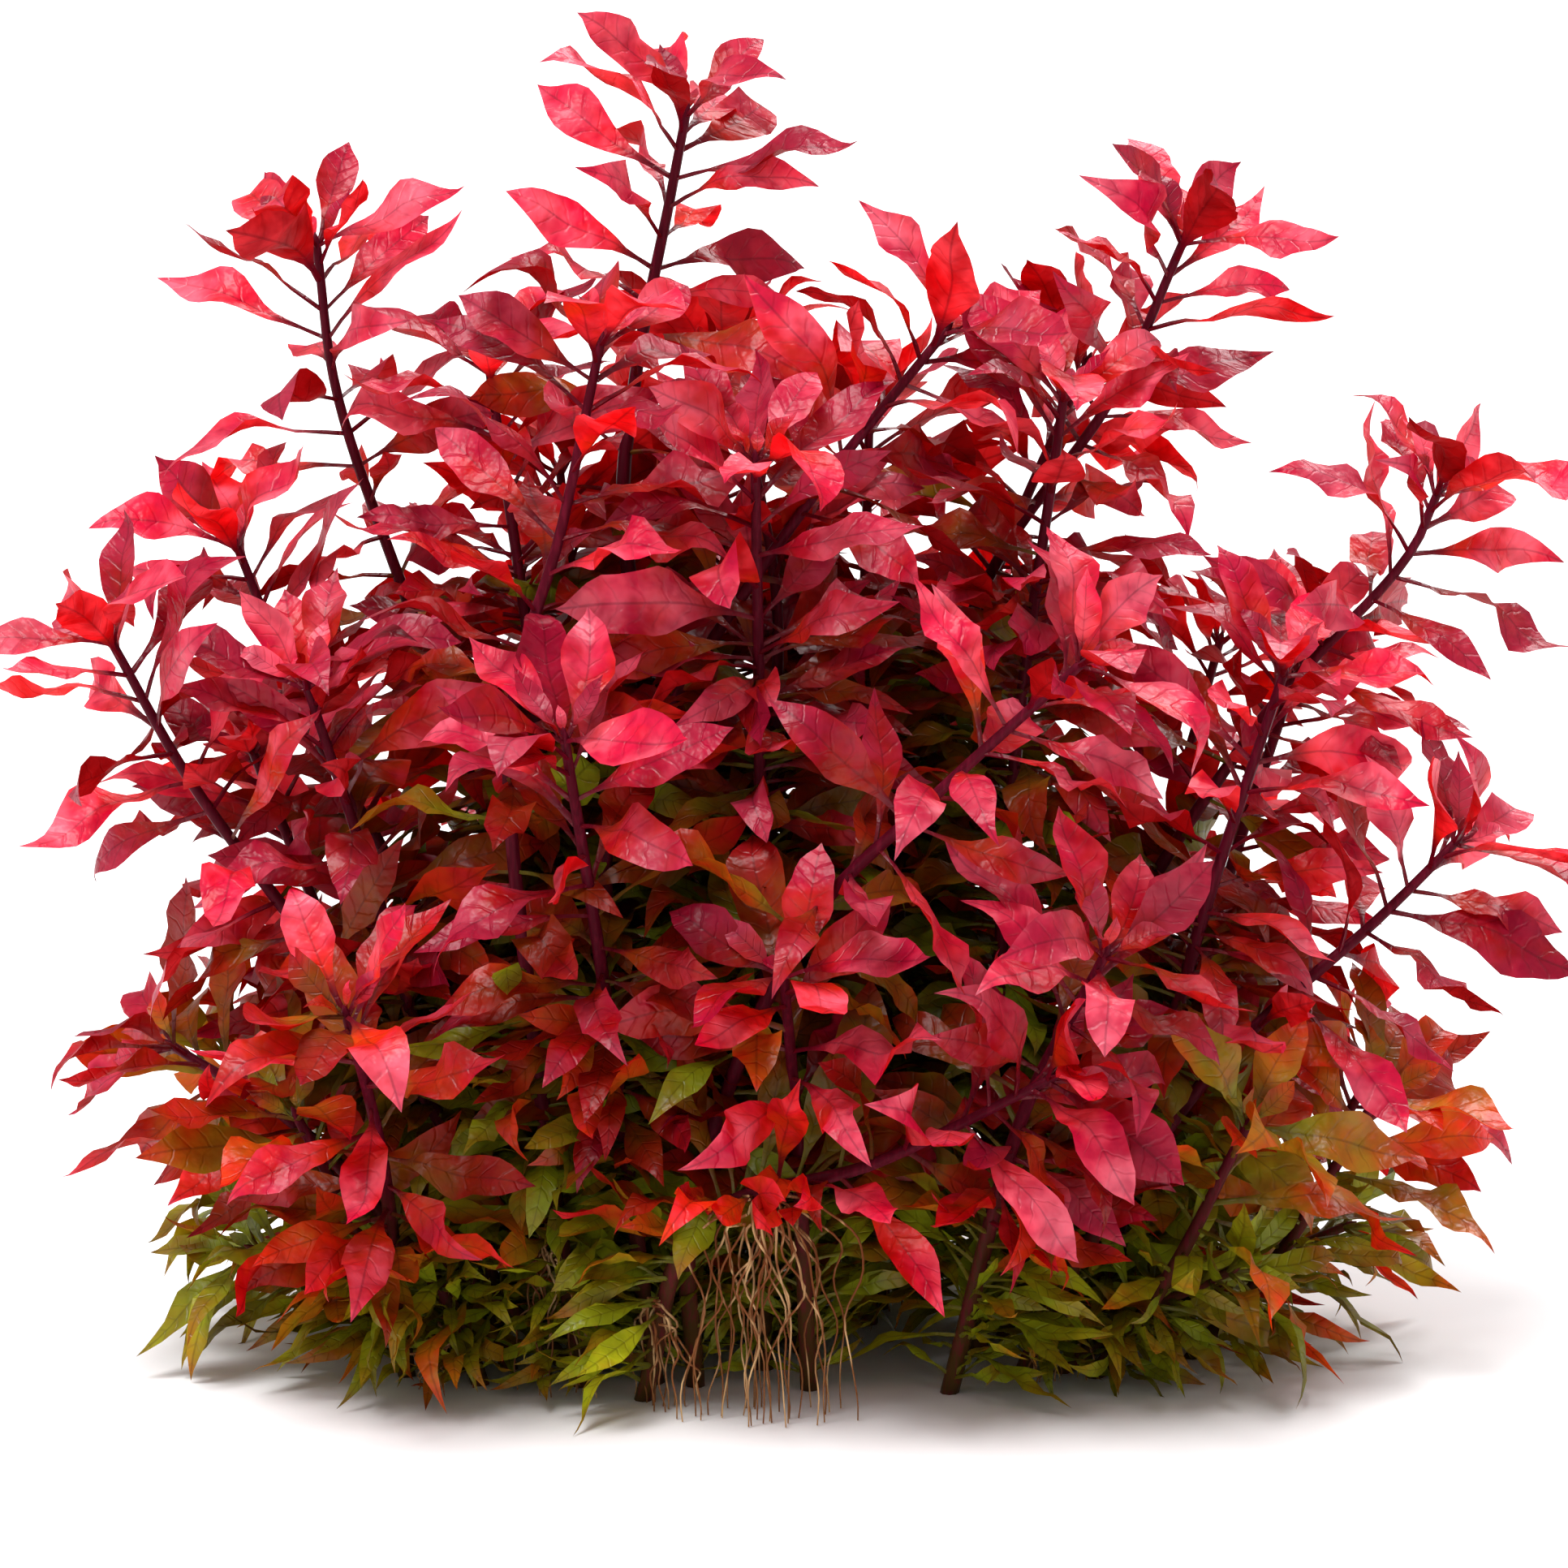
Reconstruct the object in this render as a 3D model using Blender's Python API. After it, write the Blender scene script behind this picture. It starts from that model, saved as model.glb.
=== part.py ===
"""A clump of red ludwigia: leafy shoots standing on their cut feet, with tufts of thread roots.

Units are metres. +Z is up, the viewer stands at -Y, and the origin is the cut foot of the tallest shoot.
Every shoot is one grown piece, a stem with its leaves fused to it. Every root tuft is a piece of its own.
"""

import math
import random
from typing import NamedTuple

import bmesh
import bpy
from mathutils import Quaternion, Vector
from mathutils.bvhtree import BVHTree

MM = 0.001
UP = Vector((0.0, 0.0, 1.0))

# Stems
FOOT_RADIUS = 1.5 * MM
MAIN_FOOT_RADIUS = 2.2 * MM
TIP_RADIUS = 0.75 * MM
STEM_SIDES = 4
RING_SPACING = 26 * MM
BUD_LENGTH = 2.2 * MM
SHARP_ANGLE = 40

# Leaves
LEAF_LENGTH = 29 * MM
LEAF_WIDTH_SHARE = 0.27
WIDEST_AT = 0.60
KEEL_DEPTH = 0.9 * MM
LEAF_BASE_HEIGHT = 1.8 * MM
FIRST_PAIR_AT = 5.5 * MM
PAIR_SPACING = 8.6 * MM
SPACING_GROWTH = 0.5 * MM
FACES = {"crown": (0, 1, 2, 3), "even": (0, 2), "odd": (1, 3), "": ()}
BACK_FROM = 14 * MM
LOWEST_LEAF_BASE = 7 * MM
GROUND_GAP = 0.4 * MM

# How a leaf's size and its angle to the stem change with the distance below the tip
CROWN_SIZE, CROWN_SIZE_STEP = 0.72, 0.06
YOUNG_SIZE, YOUNG_REACH = 0.85, 12 * MM
OLD_LOSS, OLD_FROM, OLD_REACH = 0.30, 45 * MM, 60 * MM
CROWN_PITCH, CROWN_PITCH_STEP = 35, 8
OLD_PITCH, YOUNG_LIFT, LIFT_REACH = 67.0, 20.0, 26 * MM
DROOP_REACH = 60 * MM

# How far single leaves stray from the rule, in degrees and shares
CROWN_PITCH_STRAY = 5
PITCH_STRAY = 10
SIZE_STRAY = (0.88, 1.15)
SWING_STRAY = 16
BEND_RANGE = (12, 52)
ROLL_STRAY = 34
MOST_TWIST = 60
MOST_DROOP = 0.5

# Where the upper side of a leaf turns: along the stem, up, out to its side, and to the front or the back
GROWTH_PULL = 0.35
UP_PULL = 0.55
SIDE_PULL = 0.5
FACE_PULL = 0.62

# Clearances between pieces
CLEARANCE = 0.35 * MM
STEM_CLEARANCE = 1.2 * MM
SHARED_BASE = 1.5 * MM
LEAF_TRIES = (
    (0, 0, 1.0),
    (14, -9, 0.97),
    (-14, 9, 0.97),
    (28, 5, 0.92),
    (-28, -12, 0.92),
    (42, 14, 0.85),
    (-42, -5, 0.85),
    (0, -24, 0.8),
)
SWINGS = (0, 5, -5, 10, -10, 15, -15)

# The spread of the clump: half widths and half depths of the feet and of the stem tips
FOOT_SPREAD = (80 * MM, 43 * MM)
TIP_SPREAD = (106 * MM, 78 * MM)
TIP_SPACING = 21 * MM
TURN_STRAY = 5
HEIGHT_STRAY = (0.9, 1.08)

# The middle of the front, where the roots show, has no fillers below this height and within this half width
WINDOW_HEIGHT = 50 * MM
WINDOW_HALF_WIDTH = 46 * MM

# Root tufts
ROOT_RADIUS = 0.42 * MM
ROOT_STEPS = 2
KNOT_RADIUS = 1.5 * MM
THREAD_STRAY = (0.1, 0.6)
THREAD_SWAY = 3
THREAD_TAPER = 1.2

# Colours
ROOT_COLOUR = (0.40, 0.16, 0.05)
OLIVE, OLIVE_HEIGHT = (0.23, 0.20, 0.02), 15 * MM
ORANGE, ORANGE_HEIGHT = (0.45, 0.09, 0.02), 75 * MM
CRIMSON, CRIMSON_HEIGHT = (0.50, 0.01, 0.03), 150 * MM


class Shoot(NamedTuple):
    """A stem's route in millimetres, from foot to tip, and how many pairs of leaves it bears."""

    name: str
    route: tuple
    pairs: int


class Tier(NamedTuple):
    """A ring of shoots of one height. Reaches are shares of the clump's spread, and depth narrows it."""

    name: str
    count: int
    first_turn: float
    foot_reach: float
    tip_reach: float
    height: float
    knee_reach: float
    knee_height: float
    depth: float
    pairs: int


class Tuft(NamedTuple):
    """Thread roots that hang from a knot beside a stem down to the ground, and lean away from it."""

    name: str
    knot: tuple
    lean: tuple
    threads: int
    spread: float


# The shoots that stand out from the mass
LEADING_SHOOTS = (
    Shoot(
        "shoot_tall_centre",
        ((0, 0, 0), (-14, 3, 60), (-25, 6, 126), (-24, 6, 154), (-18, 5, 185), (-15.5, 5, 198)),
        9,
    ),
    Shoot(
        "shoot_left_top",
        ((-30, 6, 0), (-43, 8, 66), (-58, 10, 112), (-71, 10, 151), (-74.5, 10, 177)),
        8,
    ),
    Shoot(
        "shoot_front_left",
        ((-32, -28, 0), (-39, -38, 62), (-42, -39, 106), (-34, -35, 137), (-28, -32, 165)),
        9,
    ),
    Shoot(
        "shoot_centre_right",
        ((-21, -16, 0), (-28, -21, 83), (-17, -18, 108), (4, -15, 139), (25, -12, 165)),
        9,
    ),
    Shoot(
        "shoot_right_top",
        ((14, 10, 0), (19, 10, 72), (31, 8, 120), (52, 4, 153), (63, 2, 178)),
        7,
    ),
    Shoot(
        "shoot_right_upper",
        ((36, 2, 0), (48, 0, 54), (74, -4, 100), (97, -6, 127), (103, -6, 139)),
        8,
    ),
    Shoot(
        "shoot_right_lower",
        ((38, -20, 0), (46, -25, 19), (68, -25, 51), (93, -23, 74), (105, -22, 86)),
        8,
    ),
    Shoot(
        "shoot_front_right",
        ((-14, -28, 0), (-14, -38, 33), (2, -51, 76), (22, -58, 99), (44, -62, 120)),
        9,
    ),
    Shoot(
        "shoot_left_side",
        ((-44, -18, 0), (-52, -22, 37), (-73, -22, 68), (-92, -20, 94), (-105, -18, 117)),
        8,
    ),
    Shoot("shoot_left_mid", ((-46, -2, 0), (-57, -2, 64), (-76, 0, 102), (-87, 0, 130)), 6),
    Shoot("shoot_left_low", ((-48, -27, 0), (-54, -29, 16), (-75, -22, 39), (-97, -15, 52)), 5),
    Shoot("shoot_right_inner", ((16, 20, 0), (22, 20, 84), (35, 22, 124), (49, 22, 157)), 5),
    Shoot("shoot_centre_inner", ((3, -8, 0), (-2, -5, 75), (-1, -4, 119), (-5, -4, 145)), 4),
    Shoot("shoot_right_skirt", ((56, 6, 0), (66, 8, 6), (87, 12, 27), (96, 12, 41)), 4),
    Shoot("shoot_front_arch", ((-22, -36, 0), (-13, -46, 31), (14, -53, 42), (40, -58, 56)), 4),
    Shoot("shoot_front_middle", ((4, -30, 0), (2, -44, 44), (0, -58, 72)), 4),
    Shoot("shoot_front_corner", ((26, -32, 0), (36, -46, 46), (48, -62, 76)), 4),
    Shoot("shoot_left_corner", ((-60, -22, 0), (-62, -42, 40), (-66, -58, 66)), 4),
)

# The mass of the clump, behind and between the leading shoots
TIERS = (
    Tier("shoot_upper", 9, 20, 0.42, 0.44, 150 * MM, 0.40, 0.60, 1.0, 3),
    Tier("shoot_shoulder", 12, 5, 0.66, 0.80, 106 * MM, 0.55, 0.60, 1.0, 4),
    Tier("shoot_skirt", 12, 12, 0.86, 0.93, 46 * MM, 0.50, 0.42, 0.88, 4),
    Tier("shoot_ground", 9, 0, 0.72, 0.86, 20 * MM, 0.45, 0.55, 0.66, 3),
)

TUFTS = (
    Tuft("roots_front_centre", (-3, -52.2, 34.6), (0, -1, 0), 7, 13),
    Tuft("roots_front_left", (-37, -35, 24), (-0.6, -0.8, 0), 5, 8),
    Tuft("roots_front_middle", (-20.6, -43, 16), (-0.8, -0.6, 0), 5, 8),
    Tuft("roots_left", (-53, -31.8, 10), (0, -1, 0), 4, 7),
    Tuft("roots_right", (43.5, -26.2, 9), (0.4, -0.9, 0), 4, 7),
    Tuft("roots_back", (18, 23.8, 20), (0, 1, 0), 5, 9),
)


class Level(NamedTuple):
    """A ring of a stem: its centre, the stem's direction there, its side axes and its radius."""

    centre: Vector
    growth: Vector
    side: Vector
    front: Vector
    radius: float
    leafy: str

    def corners(self, extra=0.0):
        """The ring's corners. Face k lies between corners k and k + 1."""
        turns = [math.radians(90 * k - 45) for k in range(STEM_SIDES)]
        reach = self.radius + extra
        return [self.centre + (self.side * math.cos(a) + self.front * math.sin(a)) * reach for a in turns]

    def outward(self, face):
        """The direction in which a face of the stem looks."""
        turn = math.radians(90 * face)
        return self.side * math.cos(turn) + self.front * math.sin(turn)


class Leaf(NamedTuple):
    """A leaf that grows from a face of the stem and bends away from its upper side.

    Its root is a triangle on the stem: left and right on the face's upper edge, and a point under them.
    """

    base: Vector
    direction: Vector
    normal: Vector
    length: float
    width: float
    bend: float
    root: list

    def spine(self, share):
        """The point on the midrib at a share of the length, and the upward normal there."""
        angle = self.bend * share
        along = self.direction * (math.sin(angle) / self.bend)
        drop = self.normal * ((1.0 - math.cos(angle)) / self.bend)
        normal = self.normal * math.cos(angle) + self.direction * math.sin(angle)
        return self.base + (along - drop) * self.length, normal

    def widest(self, extra=0.0):
        """The left rim, the right rim and the keel where the blade is widest, grown by extra."""
        centre, normal = self.spine(WIDEST_AT)
        side = self.direction.cross(self.normal)
        half = self.width / 2 + extra
        rim = centre + normal * extra
        return [rim + side * half, rim - side * half, centre - normal * (KEEL_DEPTH + extra)]

    def envelope(self, start, extra=0.0):
        """The leaf from a distance off the stem to its tip as a body of its own, grown by extra."""
        share = start / (self.length * WIDEST_AT)
        widest = self.widest(extra)
        inner = [corner.lerp(outer, share) for corner, outer in zip(self.root, widest)]
        tip, _ = self.spine(1.0 + extra / self.length)
        return loft([inner, widest], tip)


def smooth_route(route):
    """A dense curve through a route's points, by Catmull and Rom's rule."""
    steps = 16
    points = [Vector(point) * MM for point in route]
    points = [points[0] * 2 - points[1], *points, points[-1] * 2 - points[-2]]
    curve = []
    for a, b, c, d in zip(points, points[1:], points[2:], points[3:]):
        for i in range(steps):
            t = i / steps
            bend = (a * 2 - b * 5 + c * 4 - d) * t * t + (b * 3 - a - c * 3 + d) * t * t * t
            curve.append((b * 2 + (c - a) * t + bend) / 2)
    return [*curve, points[-2]]


def point_below(curve, from_tip):
    """The point of a dense curve at a distance below its end."""
    for above, below in zip(curve[::-1], curve[-2::-1]):
        step = (above - below).length
        if from_tip <= step:
            return above.lerp(below, from_tip / step)
        from_tip -= step
    return curve[0].copy()


def pair_distances(count):
    """How far below the tip each pair of leaves grows. The pairs stand closer towards the tip."""
    return [FIRST_PAIR_AT + PAIR_SPACING * j + SPACING_GROWTH * j * j for j in range(count)]


def stem_levels(shoot, foot_radius):
    """The rings of a shoot's stem, from its foot to its crown."""
    curve = smooth_route(shoot.route)
    length = sum((b - a).length for a, b in zip(curve, curve[1:]))
    stops = [(0.0, "crown")]
    for number, from_tip in enumerate(pair_distances(shoot.pairs)):
        if from_tip < length and point_below(curve, from_tip).z > LOWEST_LEAF_BASE:
            stops.append((from_tip, "odd" if number % 2 else "even"))
    bare = length - stops[-1][0]
    steps = max(1, round(bare / RING_SPACING))
    stops += [(stops[-1][0] + bare * (i + 1) / steps, "") for i in range(steps)]
    stops.reverse()
    centres = [point_below(curve, from_tip) for from_tip, _ in stops[1:]]
    centres.insert(0, curve[0])
    turn = math.radians(random.Random(shoot.name).uniform(0, 90))
    side = Vector((math.cos(turn), math.sin(turn), 0.0))
    front, heading = UP.cross(side), UP
    levels = []
    for i, (centre, (from_tip, leafy)) in enumerate(zip(centres, stops)):
        if i:
            ahead = (centres[min(i + 1, len(centres) - 1)] - centres[i - 1]).normalized()
            bend = heading.rotation_difference(ahead)
            side, front, heading = bend @ side, bend @ front, ahead
        radius = TIP_RADIUS + (foot_radius - TIP_RADIUS) * from_tip / length
        levels.append(Level(centre, heading, side, front, radius, leafy))
    return levels


def folded_out(body, corners, inside):
    """Two triangles over four corners, folded along the diagonal that lies further from a point inside."""
    a, b, c, d = corners
    across = (c.co - a.co).cross(d.co - b.co)
    if across.dot(a.co + b.co + c.co + d.co - inside * len(corners)) < 0:
        across.negate()
    if (a.co + c.co - b.co - d.co).dot(across) > 0:
        body.faces.new((a, b, c))
        body.faces.new((a, c, d))
    else:
        body.faces.new((a, b, d))
        body.faces.new((b, c, d))


def extend(body, base, corners):
    """New vertices at the corners, joined to the base's vertices by a skin."""
    ends = [body.verts.new(corner) for corner in corners]
    inside = sum((vertex.co for vertex in [*base, *ends]), Vector()) / (len(base) + len(ends))
    for k, end in enumerate(ends):
        following = (k + 1) % len(ends)
        folded_out(body, (base[k], base[following], ends[following], end), inside)
    return ends


def close_to_point(body, ends, point):
    """A cap of triangles from an open end to a point."""
    tip = body.verts.new(point)
    for k, end in enumerate(ends):
        body.faces.new((end, ends[(k + 1) % len(ends)], tip))


def loft(sections, tip):
    """A closed body: a skin from a flat first section through the others to a point."""
    body = bmesh.new()
    ring = [body.verts.new(corner) for corner in sections[0]]
    body.faces.new(ring[::-1])
    for corners in sections[1:]:
        ring = extend(body, ring, corners)
    close_to_point(body, ring, tip)
    return body


def stem_envelope(levels, extra=0.0):
    """A stem without leaves, grown by extra."""
    bud = levels[-1].centre + levels[-1].growth * BUD_LENGTH
    return loft([level.corners(extra) for level in levels], bud)


def tree_of(body):
    """A search tree of a body's triangles, with its middle and its reach."""
    tree = BVHTree.FromBMesh(body)
    points = [vertex.co.copy() for vertex in body.verts]
    middle = sum(points, Vector()) / len(points)
    reach = max((point - middle).length for point in points)
    body.free()
    return tree, middle, reach


def clear_of(candidate, others):
    """Whether a body's surface meets none of the others'."""
    tree, middle, reach = candidate
    for other, centre, spread in others:
        if (middle - centre).length < reach + spread and tree.overlap(other):
            return False
    return True


def size_at(from_tip):
    """How big a leaf is at a distance below the tip, as a share of a full one."""
    young = min(1.0, YOUNG_SIZE + (1.0 - YOUNG_SIZE) * from_tip / YOUNG_REACH)
    old = max(0.0, from_tip - OLD_FROM) / OLD_REACH
    return young * (1.0 - OLD_LOSS * min(old, 1.0))


def pitch_at(from_tip):
    """The angle between a leaf and the stem's tip, in degrees: upright when young, level when old."""
    return OLD_PITCH - YOUNG_LIFT * math.exp(-from_tip / LIFT_REACH)


def stray(draw, most):
    """A number drawn between minus most and most."""
    return draw.uniform(-most, most)


class Plan(NamedTuple):
    """A place for a leaf: its level and face on the stem, and how the leaf would stand there."""

    level: int
    face: int
    swing: float
    pitch: float
    size: float
    bend: float
    roll: float
    droop: float


def leaf_plans(shoot, levels):
    """Places for a shoot's leaves, from the crown down, four in the crown and two on a level below."""
    draw = random.Random(shoot.name + " leaves")
    plans = []
    from_tip = 0.0
    for number in range(len(levels) - 1, 0, -1):
        level = levels[number]
        for face in FACES[level.leafy]:
            if level.leafy == "crown":
                pitch = CROWN_PITCH + CROWN_PITCH_STEP * face + stray(draw, CROWN_PITCH_STRAY)
                size = CROWN_SIZE + CROWN_SIZE_STEP * face
            else:
                pitch = pitch_at(from_tip) + stray(draw, PITCH_STRAY)
                size = size_at(from_tip) * draw.uniform(*SIZE_STRAY)
            swing, bend, roll = stray(draw, SWING_STRAY), draw.uniform(*BEND_RANGE), stray(draw, ROLL_STRAY)
            droop = min(1.0, from_tip / DROOP_REACH) * draw.uniform(0.0, MOST_DROOP)
            plans.append(Plan(number, face, swing, pitch, size, bend, roll, droop))
        from_tip += (level.centre - levels[number - 1].centre).length
    return plans


def leaf_on(levels, plan, change):
    """The leaf of a plan, changed by one of the tries."""
    turned, tilted, shortened = change
    level = levels[plan.level]
    around, lean = math.radians(plan.swing + turned), math.radians(plan.pitch + tilted)
    square = level.outward(plan.face)
    outward = square * math.cos(around) + level.growth.cross(square) * math.sin(around)
    direction = level.growth * math.cos(lean) + outward * math.sin(lean)
    direction = (direction - UP * plan.droop * math.sin(lean)).normalized()
    behind = 1.0 if level.centre.y > BACK_FROM else -1.0
    light = Vector((SIDE_PULL * level.centre.x / TIP_SPREAD[0], FACE_PULL * behind, UP_PULL))
    facing = level.growth * GROWTH_PULL + light
    untwisted = (level.growth - direction * level.growth.dot(direction)).normalized()
    twist = math.degrees(math.atan2(direction.dot(untwisted.cross(facing)), untwisted.dot(facing)))
    twist = max(-MOST_TWIST, min(MOST_TWIST, twist + plan.roll))
    normal = Quaternion(direction, math.radians(twist)) @ untwisted
    length = LEAF_LENGTH * plan.size * shortened
    corners = level.corners()
    left, right = corners[plan.face], corners[(plan.face + 1) % STEM_SIDES]
    base = (left + right) / 2
    root = [left, right, base - level.growth * LEAF_BASE_HEIGHT]
    return Leaf(base, direction, normal, length, length * LEAF_WIDTH_SHARE, math.radians(plan.bend), root)


def above_ground(leaf):
    """Whether the whole leaf stays clear of the ground."""
    tip, _ = leaf.spine(1.0)
    return min(corner.z for corner in [*leaf.widest(), tip]) > GROUND_GAP


def grow_leaves(shoot, levels, stem, obstacles):
    """The shoot's leaves that clear the other pieces, by level and face. Obstacles gets their trees."""
    others = [tree for tree in obstacles if tree is not stem]
    own, leaves = [stem], {}
    for plan in leaf_plans(shoot, levels):
        for change in LEAF_TRIES:
            leaf = leaf_on(levels, plan, change)
            if not above_ground(leaf):
                continue
            bodies = tree_of(leaf.envelope(0.0)), tree_of(leaf.envelope(0.0, CLEARANCE))
            if not all(clear_of(body, others) for body in bodies):
                continue
            apart = tree_of(leaf.envelope(SHARED_BASE))
            if clear_of(apart, own):
                own.append(apart)
                leaves[plan.level, plan.face] = leaf
                break
    obstacles.extend(tree_of(leaf.envelope(0.0)) for leaf in leaves.values())
    return leaves


def stem_side(body, lower, upper, leaf):
    """One side of the stem between two levels, with a leaf grown from its upper edge if it has one."""
    (low_left, low_right), (left, right) = lower, upper
    if leaf is None:
        body.faces.new((low_left, low_right, right, left))
        return
    under = body.verts.new(leaf.root[2])
    body.faces.new((low_left, low_right, under))
    body.faces.new((low_left, under, left))
    body.faces.new((low_right, right, under))
    rim_left, rim_right, keel = leaf.widest()
    ends = extend(body, [left, under, right], [rim_left, keel, rim_right])
    close_to_point(body, ends, leaf.spine(1.0)[0])


def shoot_object(name, levels, leaves):
    """A stem with its leaves, extruded from the cut foot to the bud as one closed body."""
    body = bmesh.new()
    ring = [body.verts.new(corner) for corner in levels[0].corners()]
    body.faces.new(ring[::-1])
    for number in range(1, len(levels)):
        following = [body.verts.new(corner) for corner in levels[number].corners()]
        for face in range(STEM_SIDES):
            after = (face + 1) % STEM_SIDES
            lower = ring[face], ring[after]
            upper = following[face], following[after]
            stem_side(body, lower, upper, leaves.get((number, face)))
        ring = following
    close_to_point(body, ring, levels[-1].centre + levels[-1].growth * BUD_LENGTH)
    bmesh.ops.triangulate(body, faces=body.faces[:])
    return object_of(name, body)


def object_of(name, body):
    """An object in the scene that holds a finished body, shaded smooth but for its sharp edges."""
    bmesh.ops.recalc_face_normals(body, faces=body.faces[:])
    if body.calc_volume(signed=True) < 0:
        bmesh.ops.reverse_faces(body, faces=body.faces[:])
    mesh = bpy.data.meshes.new(name)
    body.to_mesh(mesh)
    body.free()
    mesh.shade_smooth()
    mesh.set_sharp_from_angle(angle=math.radians(SHARP_ANGLE))
    made = bpy.data.objects.new(name, mesh)
    bpy.context.scene.collection.objects.link(made)
    return made


def filler_shoots():
    """The tiers' shoots, in order round the clump. A shoot too near another's tip is left out."""
    tips = [Vector(shoot.route[-1]) * MM for shoot in LEADING_SHOOTS]
    for tier in TIERS:
        draw = random.Random(tier.name)
        number = 0
        for i in range(tier.count):
            turn = math.radians(tier.first_turn + 360 * i / tier.count + stray(draw, TURN_STRAY))
            height = tier.height * draw.uniform(*HEIGHT_STRAY)
            across, back = math.cos(turn), math.sin(turn)
            foot = Vector((FOOT_SPREAD[0] * across, FOOT_SPREAD[1] * back, 0)) * tier.foot_reach
            tip = Vector((TIP_SPREAD[0] * across, TIP_SPREAD[1] * back * tier.depth, 0)) * tier.tip_reach
            knee = foot.lerp(tip, tier.knee_reach) + UP * height * tier.knee_height
            tip.z = height
            in_window = tier.height < WINDOW_HEIGHT and abs(tip.x) < WINDOW_HALF_WIDTH and tip.y < 0
            if in_window or min((tip - other).length for other in tips) < TIP_SPACING:
                continue
            tips.append(tip)
            number += 1
            route = tuple(tuple(point / MM) for point in (foot, knee, tip))
            yield Shoot(f"{tier.name}_{number:02d}", route, tier.pairs)


def swung(route, degrees):
    """A route turned about the clump's middle."""
    turn = math.radians(degrees)
    return tuple(
        (x * math.cos(turn) - y * math.sin(turn), x * math.sin(turn) + y * math.cos(turn), z)
        for x, y, z in route
    )


def place_stems(trees):
    """Every shoot with its levels and its stem's tree. A filler is swung until it clears all the others."""
    placed = []
    for shoot in LEADING_SHOOTS:
        levels = stem_levels(shoot, FOOT_RADIUS if placed else MAIN_FOOT_RADIUS)
        trees.append(tree_of(stem_envelope(levels)))
        placed.append((shoot, levels, trees[-1]))
    for shoot in filler_shoots():
        for degrees in SWINGS:
            moved = Shoot(shoot.name, swung(shoot.route, degrees), shoot.pairs)
            levels = stem_levels(moved, FOOT_RADIUS)
            if clear_of(tree_of(stem_envelope(levels, STEM_CLEARANCE)), trees):
                trees.append(tree_of(stem_envelope(levels)))
                placed.append((moved, levels, trees[-1]))
                break
    return placed


def root_tuft(tuft):
    """A knot of roots beside a stem, with threads drawn out of it down to the ground."""
    draw = random.Random(tuft.name)
    knot, lean = Vector(tuft.knot) * MM, Vector(tuft.lean)
    across = UP.cross(lean)
    body = bmesh.new()
    bmesh.ops.create_icosphere(body, subdivisions=1, radius=KNOT_RADIUS)
    bmesh.ops.translate(body, verts=body.verts[:], vec=knot)
    bmesh.ops.recalc_face_normals(body, faces=body.faces[:])
    outer_faces = sorted(body.faces, key=lambda f: f.normal.dot(UP) - f.normal.dot(lean))[: tuft.threads]
    outer_faces.sort(key=lambda f: f.calc_center_median().dot(across))
    for number, face in enumerate(outer_faces):
        start = face.calc_center_median()
        fan = 2 * number / (tuft.threads - 1) - 1
        foot = start + (across * fan + lean * draw.uniform(*THREAD_STRAY)) * tuft.spread * MM
        foot.z = 0.0
        sway = lean * draw.uniform(0, THREAD_SWAY) * MM
        for step in range(1, ROOT_STEPS + 1):
            share = step / (ROOT_STEPS + 1)
            centre = start.lerp(foot, share) + sway * math.sin(math.pi * share)
            face = bmesh.ops.extrude_discrete_faces(body, faces=[face])["faces"][0]
            middle = face.calc_center_median()
            corners = [vertex.co - middle for vertex in face.verts]
            for vertex, corner in zip(face.verts, corners):
                level_corner = Vector((corner.x, corner.y, 0.0)) if step > 1 else corner
                vertex.co = centre + level_corner.normalized() * ROOT_RADIUS * (THREAD_TAPER - share)
        face = bmesh.ops.extrude_discrete_faces(body, faces=[face])["faces"][0]
        bmesh.ops.pointmerge(body, verts=face.verts[:], merge_co=foot)
    return object_of(tuft.name, body)


def material(name, colour, roughness):
    """A plain finish."""
    finish = bpy.data.materials.new(name)
    finish.use_nodes = True
    shader = finish.node_tree.nodes["Principled BSDF"]
    shader.inputs["Base Color"].default_value = (*colour, 1.0)
    shader.inputs["Roughness"].default_value = roughness
    shader.inputs["Metallic"].default_value = 0.0
    finish.diffuse_color = (*colour, 1.0)
    return finish


def foliage_colour(height):
    """Olive near the ground, then orange red, and crimson in the upper part of the clump."""
    if height < ORANGE_HEIGHT:
        share = max(0.0, (height - OLIVE_HEIGHT) / (ORANGE_HEIGHT - OLIVE_HEIGHT))
        return tuple(Vector(OLIVE).lerp(Vector(ORANGE), share))
    share = min(1.0, (height - ORANGE_HEIGHT) / (CRIMSON_HEIGHT - ORANGE_HEIGHT))
    return tuple(Vector(ORANGE).lerp(Vector(CRIMSON), share))


def main():
    """Clears the scene, then builds the root tufts and the shoots."""
    for thing in list(bpy.data.objects):
        bpy.data.objects.remove(thing)
    obstacles = []
    for tuft in TUFTS:
        roots = root_tuft(tuft)
        roots.data.materials.append(material(tuft.name, ROOT_COLOUR, 0.6))
        body = bmesh.new()
        body.from_mesh(roots.data)
        obstacles.append(tree_of(body))
    for shoot, levels, stem in place_stems(obstacles):
        leaves = grow_leaves(shoot, levels, stem, obstacles)
        grown = shoot_object(shoot.name, levels, leaves)
        grown.data.materials.append(material(shoot.name, foliage_colour(levels[-1].centre.z), 0.45))


main()
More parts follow.
